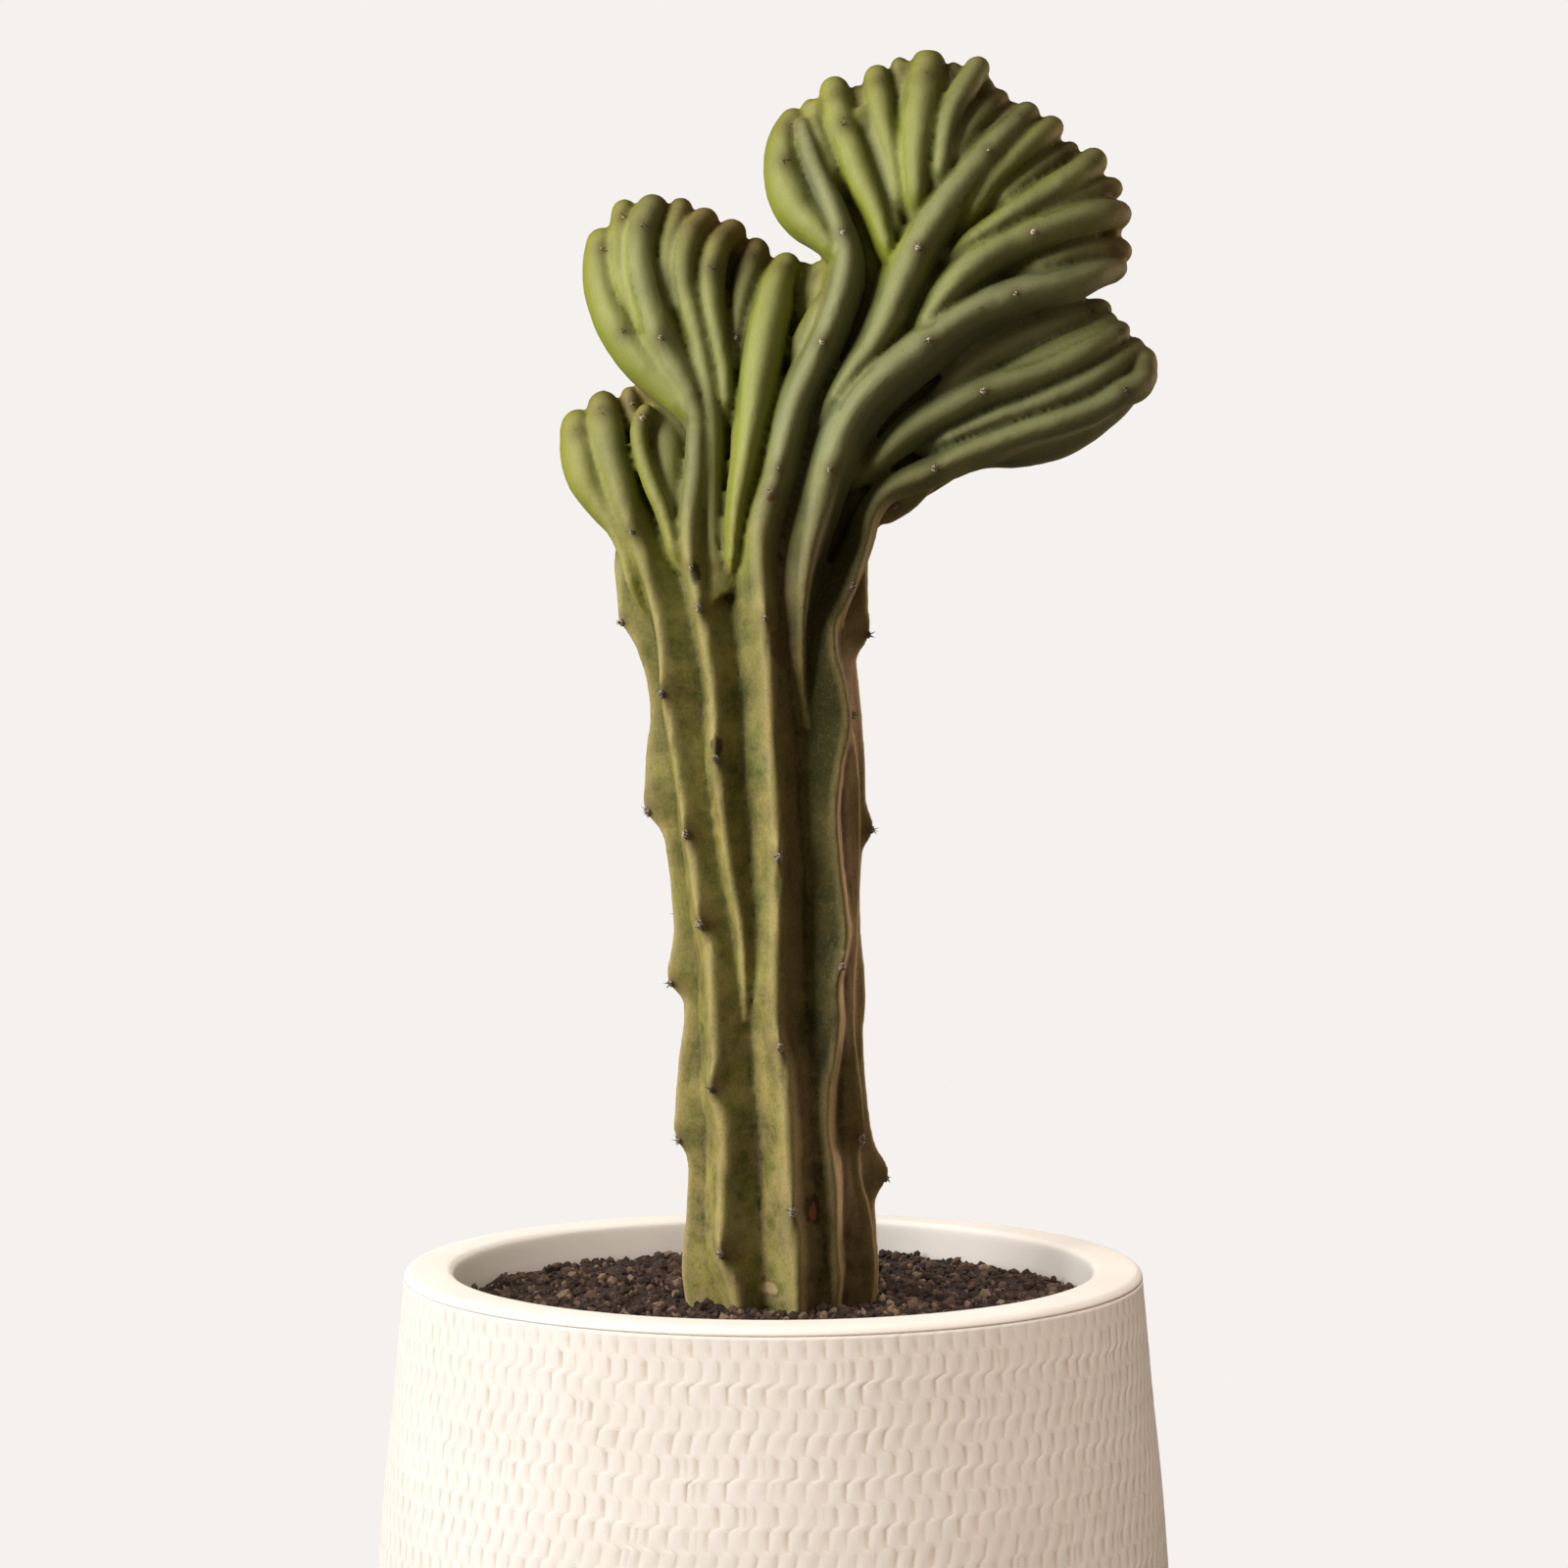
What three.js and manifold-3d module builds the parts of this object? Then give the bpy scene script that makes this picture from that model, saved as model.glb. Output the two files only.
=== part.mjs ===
// A crested blue candle cactus (Myrtillocactus geometrizans, cristate form) growing in a stoneware pot.
// Units are millimetres, +Z is up, the origin is the centre of the pot's foot, and the front faces -Y.
//
// The plant is one body. A ribbed stem widens into a crest: the growing tip is a winding line instead of
// a point, and every rib that starts there is a rounded finger. The fingers run down both faces of the
// crest, fuse in pairs into thicker ribs, and a dozen of those go on down the stem.
import * as THREE from 'three';
import { mergeVertices } from 'three/addons/utils/BufferGeometryUtils.js';
import Module from 'manifold-3d';

const wasm = await Module();
wasm.setup();

// Driving dimensions.
const SOIL_LEVEL = 220; // the level that the plant is measured from, above the pot's foot
const SETTLED = 2.4; // the mean surface of the soil lies this far below that level
const SEAT = 0.35; // gap between pieces that touch
const POT_SIDES = 48;
const SOIL_SIDES = 32;
const CORE_SIDES = 12;
const SMOOTHING = 0.85; // facets of the plant that lie within this of each other become one
const AREOLE_SMOOTHING = 0.05; // the same, once the small areoles are on

// The pot's wall as [radius, height]: up the outside from the foot, over the lip, and down the inside.
const POT_OUTSIDE = [[97, 0], [103, 7], [112.5, 22], [121.5, 46], [127, 72], [129.6, 95], [130, 108],
  [129.2, 124], [128, 144], [126.2, 166], [123.9, 188], [122.3, 206], [120.7, 224]];
const POT_LIP = [[120.3, 227.6], [119.2, 229.3], [117, 230], [107.5, 230], [105.2, 229.3], [104.2, 227.4]];
const POT_INSIDE = [[103.8, 220], [104.3, 205], [107, 180], [110.6, 150], [112.8, 115], [112, 85],
  [107.5, 55], [100, 30], [93, 16]];
const FOOT_RING = 12; // width of the ring that the pot stands on
const FOOT_RISE = 4; // the underside inside that ring stands clear of the table
const FOOT_SLOPE = 2; // width of the slope between the ring and the underside
const OUTSIDE_STEPS = 15;
const INSIDE_STEPS = 11;

// The plain hole in the soil that the stem's rooted foot fills: [radius, height above the soil].
const SOCKET = [[0, -50], [12, -49], [21, -38], [29, -20], [34.2, -5.5]];
const SOCKET_MOUTH = 16; // the hole is cut up to this height, through every lump of the soil
const SOCKET_X = 2.5; // the stem stands this far to the right of the pot's middle
const SOCKET_SIDES = 24;
// In this block of ground the plant is trimmed to its plain foot.
const GROUND = { radius: 60, depth: 70, top: -0.2 };
const SOIL_EDGE = 1.6 * SEAT; // the soil's edge stands this far inside the pot's wall
const SOIL_BEVEL = 3; // the wall's points nearer than this to the soil's surface are left out
// The rings of the soil's surface, in shares of its radius.
const SOIL_RINGS = [1, 0.93, 0.85, 0.76, 0.66, 0.56, 0.46, 0.36];
// The soil's surface is a sum of waves: [height, waves across, waves along, phase].
const SOIL_WAVES = [[0.8, 0.21, 0.17, 1.3], [0.5, 0.43, -0.37, 0], [0.45, 0.29, 0.61, 2]];

// The ribs were read from the front, from a metre away and level with the middle of the plant.
const EYE = { x: 3.5, distance: 1000, aboveSoil: 167 };

// The ribs of the front.
// Each rib is listed from its tip downwards. A point is [x, forward, z, halfWidth]: forward is how far the
// ridge stands in front of the plant's middle plane, and z is counted from the soil.
const LOW_LEFT_LOBE = {
  low_outer: [[-63.8, 5, 284, 6.5], [-63.1, 10, 276, 7.4], [-61.2, 12, 268, 7], [-57.2, 13, 260, 5.8],
    [-52.8, 14, 252.5, 4.6], [-49.6, 14, 243, 3.8], [-48, 14, 234, 3.4]],
  low_main: [[-56, 5, 291, 5.5], [-55, 11, 282, 6], [-52, 15, 270, 6], [-49, 17, 258, 5.5],
    [-45.5, 18, 247, 5], [-42, 19, 235, 4.5], [-38.5, 20, 221, 4.2], [-37, 21, 208, 4.2],
    [-36, 21, 194, 4.2], [-33.5, 22, 181, 4.4], [-31, 22, 167, 4.5], [-29.4, 23, 156, 4.5],
    [-27, 23, 142, 4.5], [-25, 24, 128, 4.5], [-23.5, 24, 119, 4.5], [-21.2, 25, 111, 4.8],
    [-20, 26, 92, 5], [-19.6, 26, 76, 5], [-20.3, 26, 67, 5], [-17.2, 27, 56, 5], [-16.4, 27, 45, 5],
    [-17.2, 27, 30, 5], [-17, 27, 13, 5], [-13, 26, 1, 5], [-10, 22, -14, 4.6], [-8, 15, -34, 4]],
  low_behind: [[-47, 3, 294.5, 3.2], [-45, 5, 286, 3.2], [-42, 7, 277, 3]],
  low_edge: [[-42, 12, 289, 3], [-44, 14, 283, 3], [-43, 16, 275, 3], [-40, 18, 266, 3], [-36, 20, 256, 3],
    [-33, 21, 245, 3]],
  low_face: [[-36, 8, 286, 5.5], [-35, 12, 277, 7], [-34, 15, 264, 5.5], [-32, 17, 250, 3]],
  low_trunk: [[-25, 18, 293, 3], [-25, 21, 284, 3.6], [-25.5, 22, 270, 4.2], [-27.5, 23, 256, 4.5],
    [-27.6, 23, 243, 4.5], [-25.2, 24, 230, 4.5], [-23, 24.5, 216, 4.5], [-20, 25, 200, 4.5],
    [-19.3, 25.5, 186, 4.3], [-18.4, 25.5, 170, 4], [-16.8, 26, 156, 3.6], [-14.4, 26, 139, 3.2],
    [-11, 26, 121, 2.8], [-9.6, 25.5, 105, 2.4], [-9.4, 23, 90, 1.8]],
};
const LEFT_LOBE = {
  left_outer: [[-56, 5, 344.5, 6], [-56.2, 9, 335, 6.8], [-54, 12, 325, 7], [-49.3, 15, 315.6, 7.5],
    [-43.4, 17, 307.8, 7.5], [-36.6, 18, 300.8, 7], [-30, 19, 293, 5]],
  left_second: [[-49, 3, 355, 4.5], [-50, 8, 346, 4.5], [-50, 11, 337, 4], [-48, 13, 328, 3.5],
    [-44, 14, 318, 3]],
  left_big: [[-40, 5, 356, 5.5], [-43, 10, 350, 6], [-44, 14, 340, 6.3], [-42, 17, 330, 7],
    [-38.5, 19, 318, 8], [-34, 20, 307, 8], [-28, 21, 297, 6], [-25, 21, 287, 4]],
  left_small: [[-30.5, 3, 356, 4], [-32.5, 8, 350, 4.2], [-34.5, 11, 342, 4], [-35, 13, 334, 3.5],
    [-33, 14, 325, 3]],
  left_fourth: [[-23, 4, 352, 5], [-27, 10, 348, 5], [-29.5, 14, 340, 5], [-29, 16, 330, 5],
    [-26, 18, 320, 5], [-23.5, 19, 309, 5.5], [-21.5, 20, 297, 6], [-20.5, 20, 283, 5.5],
    [-20.5, 20, 266, 5], [-20, 20, 248, 4.5], [-18, 20, 232, 3.5]],
  left_fifth: [[-14, 4, 348, 5], [-18.5, 10, 344, 5], [-20.5, 14, 336, 5], [-20.5, 17, 326, 5],
    [-18.5, 19, 316, 4.5], [-16.5, 20, 306, 3.5], [-15.5, 20, 294, 3]],
  left_sixth: [[-6, 3, 342, 4.8], [-8.5, 9, 334, 4.5], [-10.5, 13, 326, 4], [-12, 15, 316, 3],
    [-13, 16, 305, 2.5]],
  left_tall: [[4, 5, 337, 5], [1, 12, 331, 6], [-1, 18, 322, 7], [-3, 22, 312, 7.5], [-5, 24, 300, 7],
    [-7, 25, 287, 5.5], [-9.5, 26, 272, 4], [-12, 26, 258, 2.8], [-13.5, 24, 242, 2]],
  notch_dark: [[10, 1, 336, 2.8], [10, 5, 329, 2.8], [9.5, 8, 321, 2.5]],
  notch_pale: [[15.5, 3, 335, 4.2], [14, 8, 329, 4], [13, 11, 321, 3]],
  notch_sliver: [[18, 15, 328, 3], [13, 18, 319, 3.5], [9.5, 19, 313, 3.3], [8, 19, 306, 2.5]],
};
const TOP_LOBE = {
  top_outer: [[6.5, 4, 384.5, 5.2], [3.8, 8, 378, 6], [3.8, 12, 369, 7], [6.5, 15, 360.5, 7.5],
    [10, 17, 354.5, 7], [14.5, 19, 350, 5.3], [19.5, 20, 344, 4]],
  top_second: [[12.5, 3, 389, 3.5], [13.5, 7, 384, 4], [16, 10, 377, 4], [19, 12, 369, 3.5]],
  trunk: [[9.8, 8, 383, 3], [12.5, 13, 374, 3.5], [17, 16, 363, 4], [21, 19, 353, 4.5], [24, 22, 343, 5],
    [23.4, 24, 333, 5.5], [20, 25, 322, 5.5], [16, 26, 312, 5.5], [11.4, 27, 302, 5.5],
    [7.2, 27, 292, 5.5], [3.8, 27.5, 280, 5.5], [1, 28, 268, 5.5], [-3, 28, 255, 5.5],
    [-4.2, 28, 242, 5.5], [-2.8, 28, 224, 5.3], [-1.2, 28, 205, 5], [-0.7, 28, 190, 5],
    [0.2, 28.5, 173, 5], [1.2, 28.5, 158, 5], [1.6, 29, 140, 5], [1.5, 29, 120, 5], [0.8, 30, 100, 5.3],
    [1.2, 30, 88, 5.5], [3.4, 31, 73, 5.5], [4.7, 31, 60, 5.5], [5.5, 31, 42, 5.5], [6.4, 31, 24, 5.5],
    [7.9, 30, 5, 5.3], [7.5, 26, -14, 5], [5.5, 17, -36, 4]],
  top_third: [[20.3, 4, 395, 5.2], [22, 10, 386, 6], [25.5, 14, 376, 6], [29.5, 17, 366, 5.5],
    [34, 19, 356, 4.5], [37, 20, 346, 3.5]],
  top_shaded: [[28, 2, 393, 4], [31, 8, 384, 4.5], [35, 12, 373, 4.5], [38, 15, 362, 4], [40, 17, 351, 3]],
  top_fourth: [[34.5, 4, 399, 4.8], [35, 10, 392, 5], [37, 13, 383, 4.5], [39.5, 15, 373, 4],
    [41, 17, 362, 3]],
  top_bud: [[41.5, 1, 403, 3], [41.5, 4, 396, 3], [42, 7, 388, 3]],
  top_centre: [[51, 5, 403.5, 6], [49, 12, 393, 7.5], [48, 16, 383, 7], [47, 19, 373, 6],
    [47, 20, 363, 4.5]],
  top_peep: [[59, 1, 401, 3.2], [57, 5, 395, 3], [56, 8, 388, 3]],
  top_sixth: [[67.3, 4, 402.5, 4.2], [63, 10, 396, 4.5], [59, 14, 389, 4.5], [56.5, 17, 380, 4],
    [55, 19, 370, 3.5]],
  top_seventh: [[73.5, 2, 392, 4], [69, 8, 388, 4.5], [64.5, 12, 382, 4.5], [60, 15, 374, 4]],
  top_eighth: [[78.5, 1, 388.5, 3], [74, 6, 384, 3.5], [69, 9, 378, 3.5]],
  branch: [[83, 5, 387, 4.8], [77, 12, 381, 5.5], [69, 17, 373, 6.5], [60.5, 20, 363, 7.5],
    [53.5, 22, 353, 7.8], [47.5, 24, 343, 7.5], [42.5, 25, 332, 7], [38, 26, 321, 6], [32.5, 26, 311, 5],
    [26.5, 26, 303, 4], [21, 26, 295, 3]],
  side_first: [[91.5, 4, 383, 4.3], [86, 10, 379, 5], [79, 14, 373, 5], [72, 16, 366, 4.5],
    [66, 17, 357, 3.5]],
  side_second: [[97, 2, 375, 3.5], [91, 7, 372, 4], [84, 11, 367, 4], [76, 14, 360, 3.5]],
  side_third: [[105, 5, 371.5, 5], [99, 11, 367, 5], [91, 15, 362, 5], [82, 18, 356.5, 4.8],
    [74, 20, 351.5, 4], [67, 21, 347, 3]],
  side_fourth: [[111, 3, 363, 4], [104, 8, 362, 4.5], [96, 12, 359, 4.3], [88, 15, 356, 3.5]],
  side_big: [[113, 5, 354.5, 4.8], [107, 12, 354.5, 5.3], [98, 16, 352.5, 6], [88, 19, 349, 7],
    [78, 21, 345, 7.5], [69, 23, 340, 7.3], [62, 24, 334, 6.5], [56, 25, 327, 5], [51, 25, 320, 3.5]],
  side_sixth: [[113.5, 3, 342.5, 4.4], [105, 9, 343, 4.5], [96, 13, 340.5, 4.2], [87, 16, 337, 3.5]],
  sweep: [[112, 5, 337, 4.5], [105.5, 12, 335, 5], [97, 17, 331.8, 6.2], [87, 21, 330, 6.5],
    [77, 23, 327, 7], [67, 25, 323, 7.3], [57, 27, 317, 7.5], [47, 28, 309.5, 7.8], [37, 29, 301.5, 8],
    [29, 29, 293.5, 8], [23.5, 29, 284.5, 8], [20, 29, 275, 7.5], [17, 29, 265, 6.6],
    [14.5, 28.5, 254, 5.6], [12.2, 28, 243, 4.6], [10.5, 27, 231, 3.6], [9.8, 25, 216, 2.8],
    [10.2, 22, 200, 2.2], [11, 19, 186, 1.8]],
};
const LOW_RIGHT_LOBE = {
  right_top: [[107, 4, 322.5, 4.5], [99, 8, 321, 5.5], [90, 11, 317.5, 6.5], [80, 13, 313, 7],
    [70, 15, 308, 6.5], [62, 16, 302, 5], [55, 16, 294, 4]],
  right_thin: [[110.5, 6, 319.5, 2.8], [104, 10, 315.5, 3], [95, 13, 311.5, 3], [86, 15, 307, 3],
    [78, 16, 303, 2.5]],
  right_lit: [[114, 7, 316, 3.5], [108, 12, 312.5, 4.5], [99, 16, 307.5, 5.5], [89, 18, 303, 6],
    [79, 20, 299.5, 6.3], [69, 21, 296, 6.3], [59, 22, 291.5, 6], [49, 22, 286, 5.5], [41, 22, 280, 4.5],
    [34, 21, 273, 3.5]],
  right_shaded: [[118, 5, 310, 4.5], [111, 11, 304, 4.8], [103, 15, 299, 4.5], [94, 17, 295, 4.2],
    [84, 18, 291, 4], [72, 19, 287, 3.5], [58, 19, 281, 3]],
  right_edge: [[121.5, 5, 306, 5], [120.8, 10, 299.5, 5], [113, 14, 295, 4.8], [104, 16, 290, 5],
    [94, 18, 286.5, 5], [83, 19, 283, 5], [72, 20, 279, 5], [62, 21, 275, 4.8], [53, 21, 270.5, 4.2],
    [43, 21, 266.5, 3.6], [36, 20, 262, 3.2], [32, 19, 255, 3], [30.5, 18, 246, 3], [27.6, 18.5, 237, 3],
    [24, 19.5, 227, 3.2], [20.4, 21, 218.5, 3.4], [20.6, 21, 210, 3.4], [23.6, 20.5, 199, 3.4],
    [25.2, 20, 187, 3.4], [22.4, 21, 173, 3.4], [20.8, 22, 158, 3.4], [21.6, 22, 143, 3.4],
    [23.2, 22, 128, 3.4], [24, 22, 117, 3.4], [21.2, 22.5, 102, 3.4], [21.4, 22.5, 88, 3.4],
    [20, 23, 76, 3.6], [18.2, 24, 68, 3.8], [17.6, 24, 55, 4], [19.2, 24, 43, 4], [20.4, 23.5, 31, 4],
    [20.6, 23, 16, 4], [21.4, 22, 3, 4], [19.5, 17, -18, 3.5]],
  right_under: [[117, 2, 298, 4.8], [113, 4, 293.3, 5.2], [107, 6, 288.7, 6], [99, 8, 284.2, 6.8],
    [91, 10, 281.2, 7.2], [81, 12, 279, 7], [71, 13, 277.3, 5.7], [62, 14, 274.5, 4.6],
    [55, 14.5, 271.5, 4]],
  right_flap: [[47, 2, 262.5, 2.6], [53, 6, 266.5, 3], [60, 9, 271.5, 3.3], [68, 10, 274.5, 3]],
  right_fold: [[37.5, 6, 256.5, 4.2], [42.5, 8, 260, 4.6], [49, 10, 266, 4]],
  right_tuck: [[28.5, 4, 246, 2.5], [30.5, 6, 252, 3], [35, 8, 259, 3]],
};
const STEM_SIDES = {
  stem_left: [[-50, 1, 246, 4], [-51.5, 3, 236, 4], [-50, 6, 223, 4.6], [-46, 8, 213, 4.2],
    [-42, 8, 203, 4], [-40.5, 8, 190, 4], [-42, 8, 175, 4.5], [-41.5, 8, 161, 4.8], [-36.5, 9, 151, 4.2],
    [-34.5, 9, 141, 4], [-33.5, 9, 130, 4], [-32.5, 9, 118, 4], [-34, 9, 105, 4.6], [-30, 9, 97, 4],
    [-29.5, 9, 88, 4], [-31, 9, 75, 4.2], [-32, 9, 56, 4.4], [-28.5, 9, 45, 4], [-28.5, 9, 26, 4],
    [-30, 9, 6, 4.2], [-25, 8, -18, 4], [-17, 6, -36, 3]],
  stem_right: [[30, 0, 244, 4], [31, 0, 228, 4], [30.5, 1, 216, 4.2], [28, 2, 208, 4], [28.5, 2, 196, 4],
    [30, 3, 178, 4], [30.5, 3, 160, 4], [31.5, 3, 152, 4], [29.5, 3, 143, 4], [28.5, 3, 125, 4],
    [30.5, 3, 98, 4], [29.5, 4, 84, 4], [30.5, 4, 68, 4], [33, 4, 50, 4.2], [36.5, 5, 40, 4.6],
    [34, 5, 31, 4], [34, 5, 18, 4.5], [34.5, 5, 2, 4.5], [30, 4, -18, 4], [21, 3, -38, 3]],
  stem_fold: [[25, 17, 192, 1.6], [27, 13, 180, 2.2], [28.6, 12, 165, 2.6], [28.6, 12, 145, 2.6],
    [28, 12.5, 124, 2.6], [27, 13, 106, 2.6], [26.4, 13.5, 88, 2.6], [28, 14, 74, 2.8],
    [29.6, 13.5, 58, 2.8], [28.2, 14, 48, 2.8], [29.2, 14, 36, 2.8], [32.2, 13, 24, 2.8],
    [33.6, 12, 6, 2.8], [30, 9, -14, 2.6], [22, 7, -34, 2]],
};

// Ribs on the crest's outline keep the round section of a fingertip all the way down.
const ROUND_RIBS = ['low_outer', 'left_outer', 'top_outer', 'right_top', 'right_under'];

// The flesh inside the crest, between its two faces: pads of this depth, as a share of their width.
const WEB_DEPTH = 0.5;
const WEBS = [
  [[-57, 3, 278, 8], [-48, 6, 262, 10], [-36, 9, 240, 13]],
  [[-49, 3, 334, 9], [-43, 6, 322, 12], [-32, 9, 302, 13], [-22, 10, 280, 13]],
  [[-28, 3, 338, 10], [-24, 7, 325, 12], [-16, 10, 300, 13]],
  [[-7, 4, 325, 9], [-6, 9, 312, 12], [-4, 11, 290, 13], [-8, 12, 262, 14]],
  [[9, 3, 326, 5], [8, 6, 316, 7], [4, 10, 298, 9]],
  [[13, 3, 370, 8], [20, 7, 356, 9], [25, 11, 338, 9], [18, 12, 312, 12]],
  [[33, 3, 377, 12], [34, 8, 364, 14], [32, 11, 340, 15], [20, 12, 308, 14]],
  [[56, 3, 376, 12], [53, 8, 362, 14], [45, 11, 342, 16], [30, 12, 312, 14], [12, 13, 280, 16]],
  [[77, 3, 369, 11], [68, 8, 357, 14], [56, 11, 340, 15], [40, 12, 314, 14]],
  [[95, 3, 352, 11], [84, 8, 345, 13], [66, 11, 330, 14], [45, 12, 310, 13]],
  [[98, 3, 337, 8], [84, 7, 333, 10], [62, 10, 320, 11], [40, 11, 300, 12], [22, 13, 276, 14]],
  [[101, 3, 307, 10], [86, 5, 299, 12], [68, 7, 292, 12], [48, 8, 282, 12], [26, 10, 262, 14]],
  [[103, 3, 294, 8], [90, 4, 289, 9], [70, 6, 283, 9]],
];

// The stem's core: [z above the soil, middle x, half width, half depth].
const CORE = [[-46, 3, 7, 7], [-32, 3, 16, 14], [-12, 3, 20, 16], [10, 3, 21, 17], [50, 2, 20, 17],
  [100, 0, 19, 16], [150, -4, 22, 16], [200, -7, 25, 16], [235, -9, 30, 16], [262, -8, 33, 15],
  [285, -4, 26, 12]];
const CORE_CAP = [6, 2]; // the core closes this far above its top row, and below its bottom one

// The back.
// On the back a finger lies between each two of the front. It runs from the growing line towards the hub
// of its lobe, and every second one ends early, in its neighbour.
const HUBS = [
  { lobe: LOW_LEFT_LOBE, hub: [-40, 240], forward: 16 },
  { lobe: LEFT_LOBE, hub: [-19, 278], forward: 20 },
  { lobe: TOP_LOBE, hub: [27, 300], forward: 23 },
  { lobe: LOW_RIGHT_LOBE, hub: [34, 268], forward: 19 },
];
// Ribs that go on down the back of the stem, from the hubs to the soil: [x, z] of the top, [x] at the soil,
// and how far back they stand.
const BACK_STEM = [
  { top: [-42, 252], foot: -20, back: 20 },
  { top: [-24, 290], foot: -8, back: 27 },
  { top: [-2, 300], foot: 5, back: 30 },
  { top: [20, 304], foot: 16, back: 26 },
  { top: [26, 272], foot: 25, back: 17 },
];
const BACK_FINGER = {
  tipWithin: 9, // a front rib that begins further forward than this has no tip on the growing line
  lower: 4.5, // a back finger's tip starts this far below the line between the two front tips
  long: 0.95, // how far it runs towards the hub, as a share of the way
  short: 0.62, // and so does every second one
  bow: 0.1, // how far it bows to the side, as a share of its length
  width: 0.42, // its half width, as a share of the distance between the two tips,
  widths: [3.6, 6.5], // but within these limits
  narrowing: 0.75, // the width of its lower end, as a share of its tip's
  tipBack: 4, // how far back its tip stands
  deepening: 1.6, // it reaches its full depth this many times sooner than the hub
  stations: [0, 0.12, 0.32, 0.6, 1], // where its stations lie, in shares of its length
};
const BACK_RIB = {
  steps: 14,
  halfWidth: 4.6,
  from: 12, // it begins inside the crest, this far back,
  over: 0.2, // and comes out over this share of its length
  wave: 1.6, // how far it sways and swells at its felt cushions
  swell: 0.6, // the swelling, as a share of the sway
  turn: 2.6, // the sway's angle grows by this from step to step,
  shift: 2, // and by this from rib to rib
  settling: 1.15, // it stands over its foot this many times sooner than it gets there
  foot: -28, // where it ends, in the soil
  taper: 0.4, // its root draws in by this share towards the middle,
  rooting: [5, 30], // between these depths in the soil
};

// How a rib's section changes from its fingertip, over the crest, to the stem. The crown is the round of
// its ridge: its radius, in half widths, and how many degrees it turns to each side before the flanks
// begin. Drop is how far a flank goes down from the crown's centre, in half widths.
const SECTIONS = {
  tip: { crown: 1, turn: 90, drop: 0.6 },
  finger: { crown: 0.8, turn: 66, drop: 0.8 },
  stem: { crown: 0.5, turn: 50, drop: 2.7 },
};
const OPENING = [8, 60]; // the distance below its tip over which a round fingertip becomes a ridge
const STEM_TOP = [205, 275]; // the height over which the crest's ridges become the stem's
const KEEL_TAPER = 0.6; // width of the buried keel, as a share of the width between the flanks' feet
const FACING = 0.6; // on the stem the ridges face outwards, less this far to the side than the true radius
const PAST_MIDDLE = 1.5; // in the crest a keel ends this far behind the middle plane
const SHORT_OF_AXIS = 4; // on the stem it ends this far from the middle line
const LEAST_KEEL = 0.9; // and it is never less deep than this, in half widths
// The rows that close a rib's ends: [slide along the rib, scale, sink into the body], in half widths.
const TIP_ROWS = [[-0.98, 0, 0], [-0.72, 0.68, 0]];
const END_ROWS = [[1.2, 0.85, 0.35], [2.4, 0.6, 0.9], [3.6, 0.3, 1.5], [4, 0, 1.7]];

// Felt cushions (areoles) and their spines.
// Where they sit on the front, as [x, z]; on the back they follow the ribs at a regular step.
const FRONT_AREOLES = [[-55, 313], [-45, 351], [-39, 312], [-26, 351], [-25, 292], [-58, 288],
  [-48, 250], [-27, 237], [-23, 224], [-37, 196], [-18, 174], [-30, 150], [-24, 120], [-20, 66],
  [-17, 12], [-20, 337], [-8, 312], [16, 333], [2, 371], [24, 347], [26, 384], [47, 400], [47, 343],
  [71, 374], [86, 347], [104, 372], [80, 325], [52, 313], [18, 271], [17, 313], [-1, 262], [-3, 222],
  [3, 142], [3.5, 80], [5, 27], [68, 295], [115, 297], [52, 271], [113, 318], [25, 232], [19.6, 109],
  [29, 50], [-47, 222], [-38, 160], [-30, 104], [-28, 52], [29, 216], [30, 152], [35, 38], [8, 268]];
const BACK_AREOLES = { step: 130, first: 6, lowest: 6, stride: 0.25 };
const FRONT_STRIDE = 0.125; // a front areole's place on its ridge is found in steps of this
const CUSHION = { halfWidth: 1.9, flat: 0.75, long: 1.15 }; // flat and long are shares of the half width
const SPINE = { length: 4.2, radius: 0.55, sides: 3 };
const SUNK = 0.4; // how deep a cushion's middle lies below its ridge

// Helpers.
const { clamp, lerp, smoothstep } = THREE.MathUtils;

function solidOf(geometry) {
  const plain = new THREE.BufferGeometry().setAttribute('position', geometry.getAttribute('position'));
  if (geometry.index) plain.setIndex(geometry.index);
  const merged = mergeVertices(plain, 1e-4);
  return new wasm.Manifold(new wasm.Mesh({
    numProp: 3,
    vertProperties: merged.attributes.position.array,
    triVerts: new Uint32Array(merged.index.array),
  }));
}

function geometryOf(solid) {
  const mesh = solid.getMesh();
  const geometry = new THREE.BufferGeometry();
  geometry.setAttribute('position', new THREE.BufferAttribute(mesh.vertProperties, 3));
  geometry.setIndex(new THREE.BufferAttribute(mesh.triVerts, 1));
  geometry.computeVertexNormals();
  return geometry;
}

// The body of a solid, without the loose crumbs that a union can leave.
function largest(solid) {
  return solid.decompose().sort((a, b) => b.volume() - a.volume())[0];
}

// The stem's core at a height: its middle, half width and half depth.
function coreAt(z) {
  const above = CORE.findIndex((row) => row[0] >= z);
  if (above === 0) return CORE[0];
  if (above < 0) return CORE[CORE.length - 1];
  const [low, high] = [CORE[above - 1], CORE[above]];
  const t = (z - low[0]) / (high[0] - low[0]);
  return low.map((value, i) => lerp(value, high[i], t));
}

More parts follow.
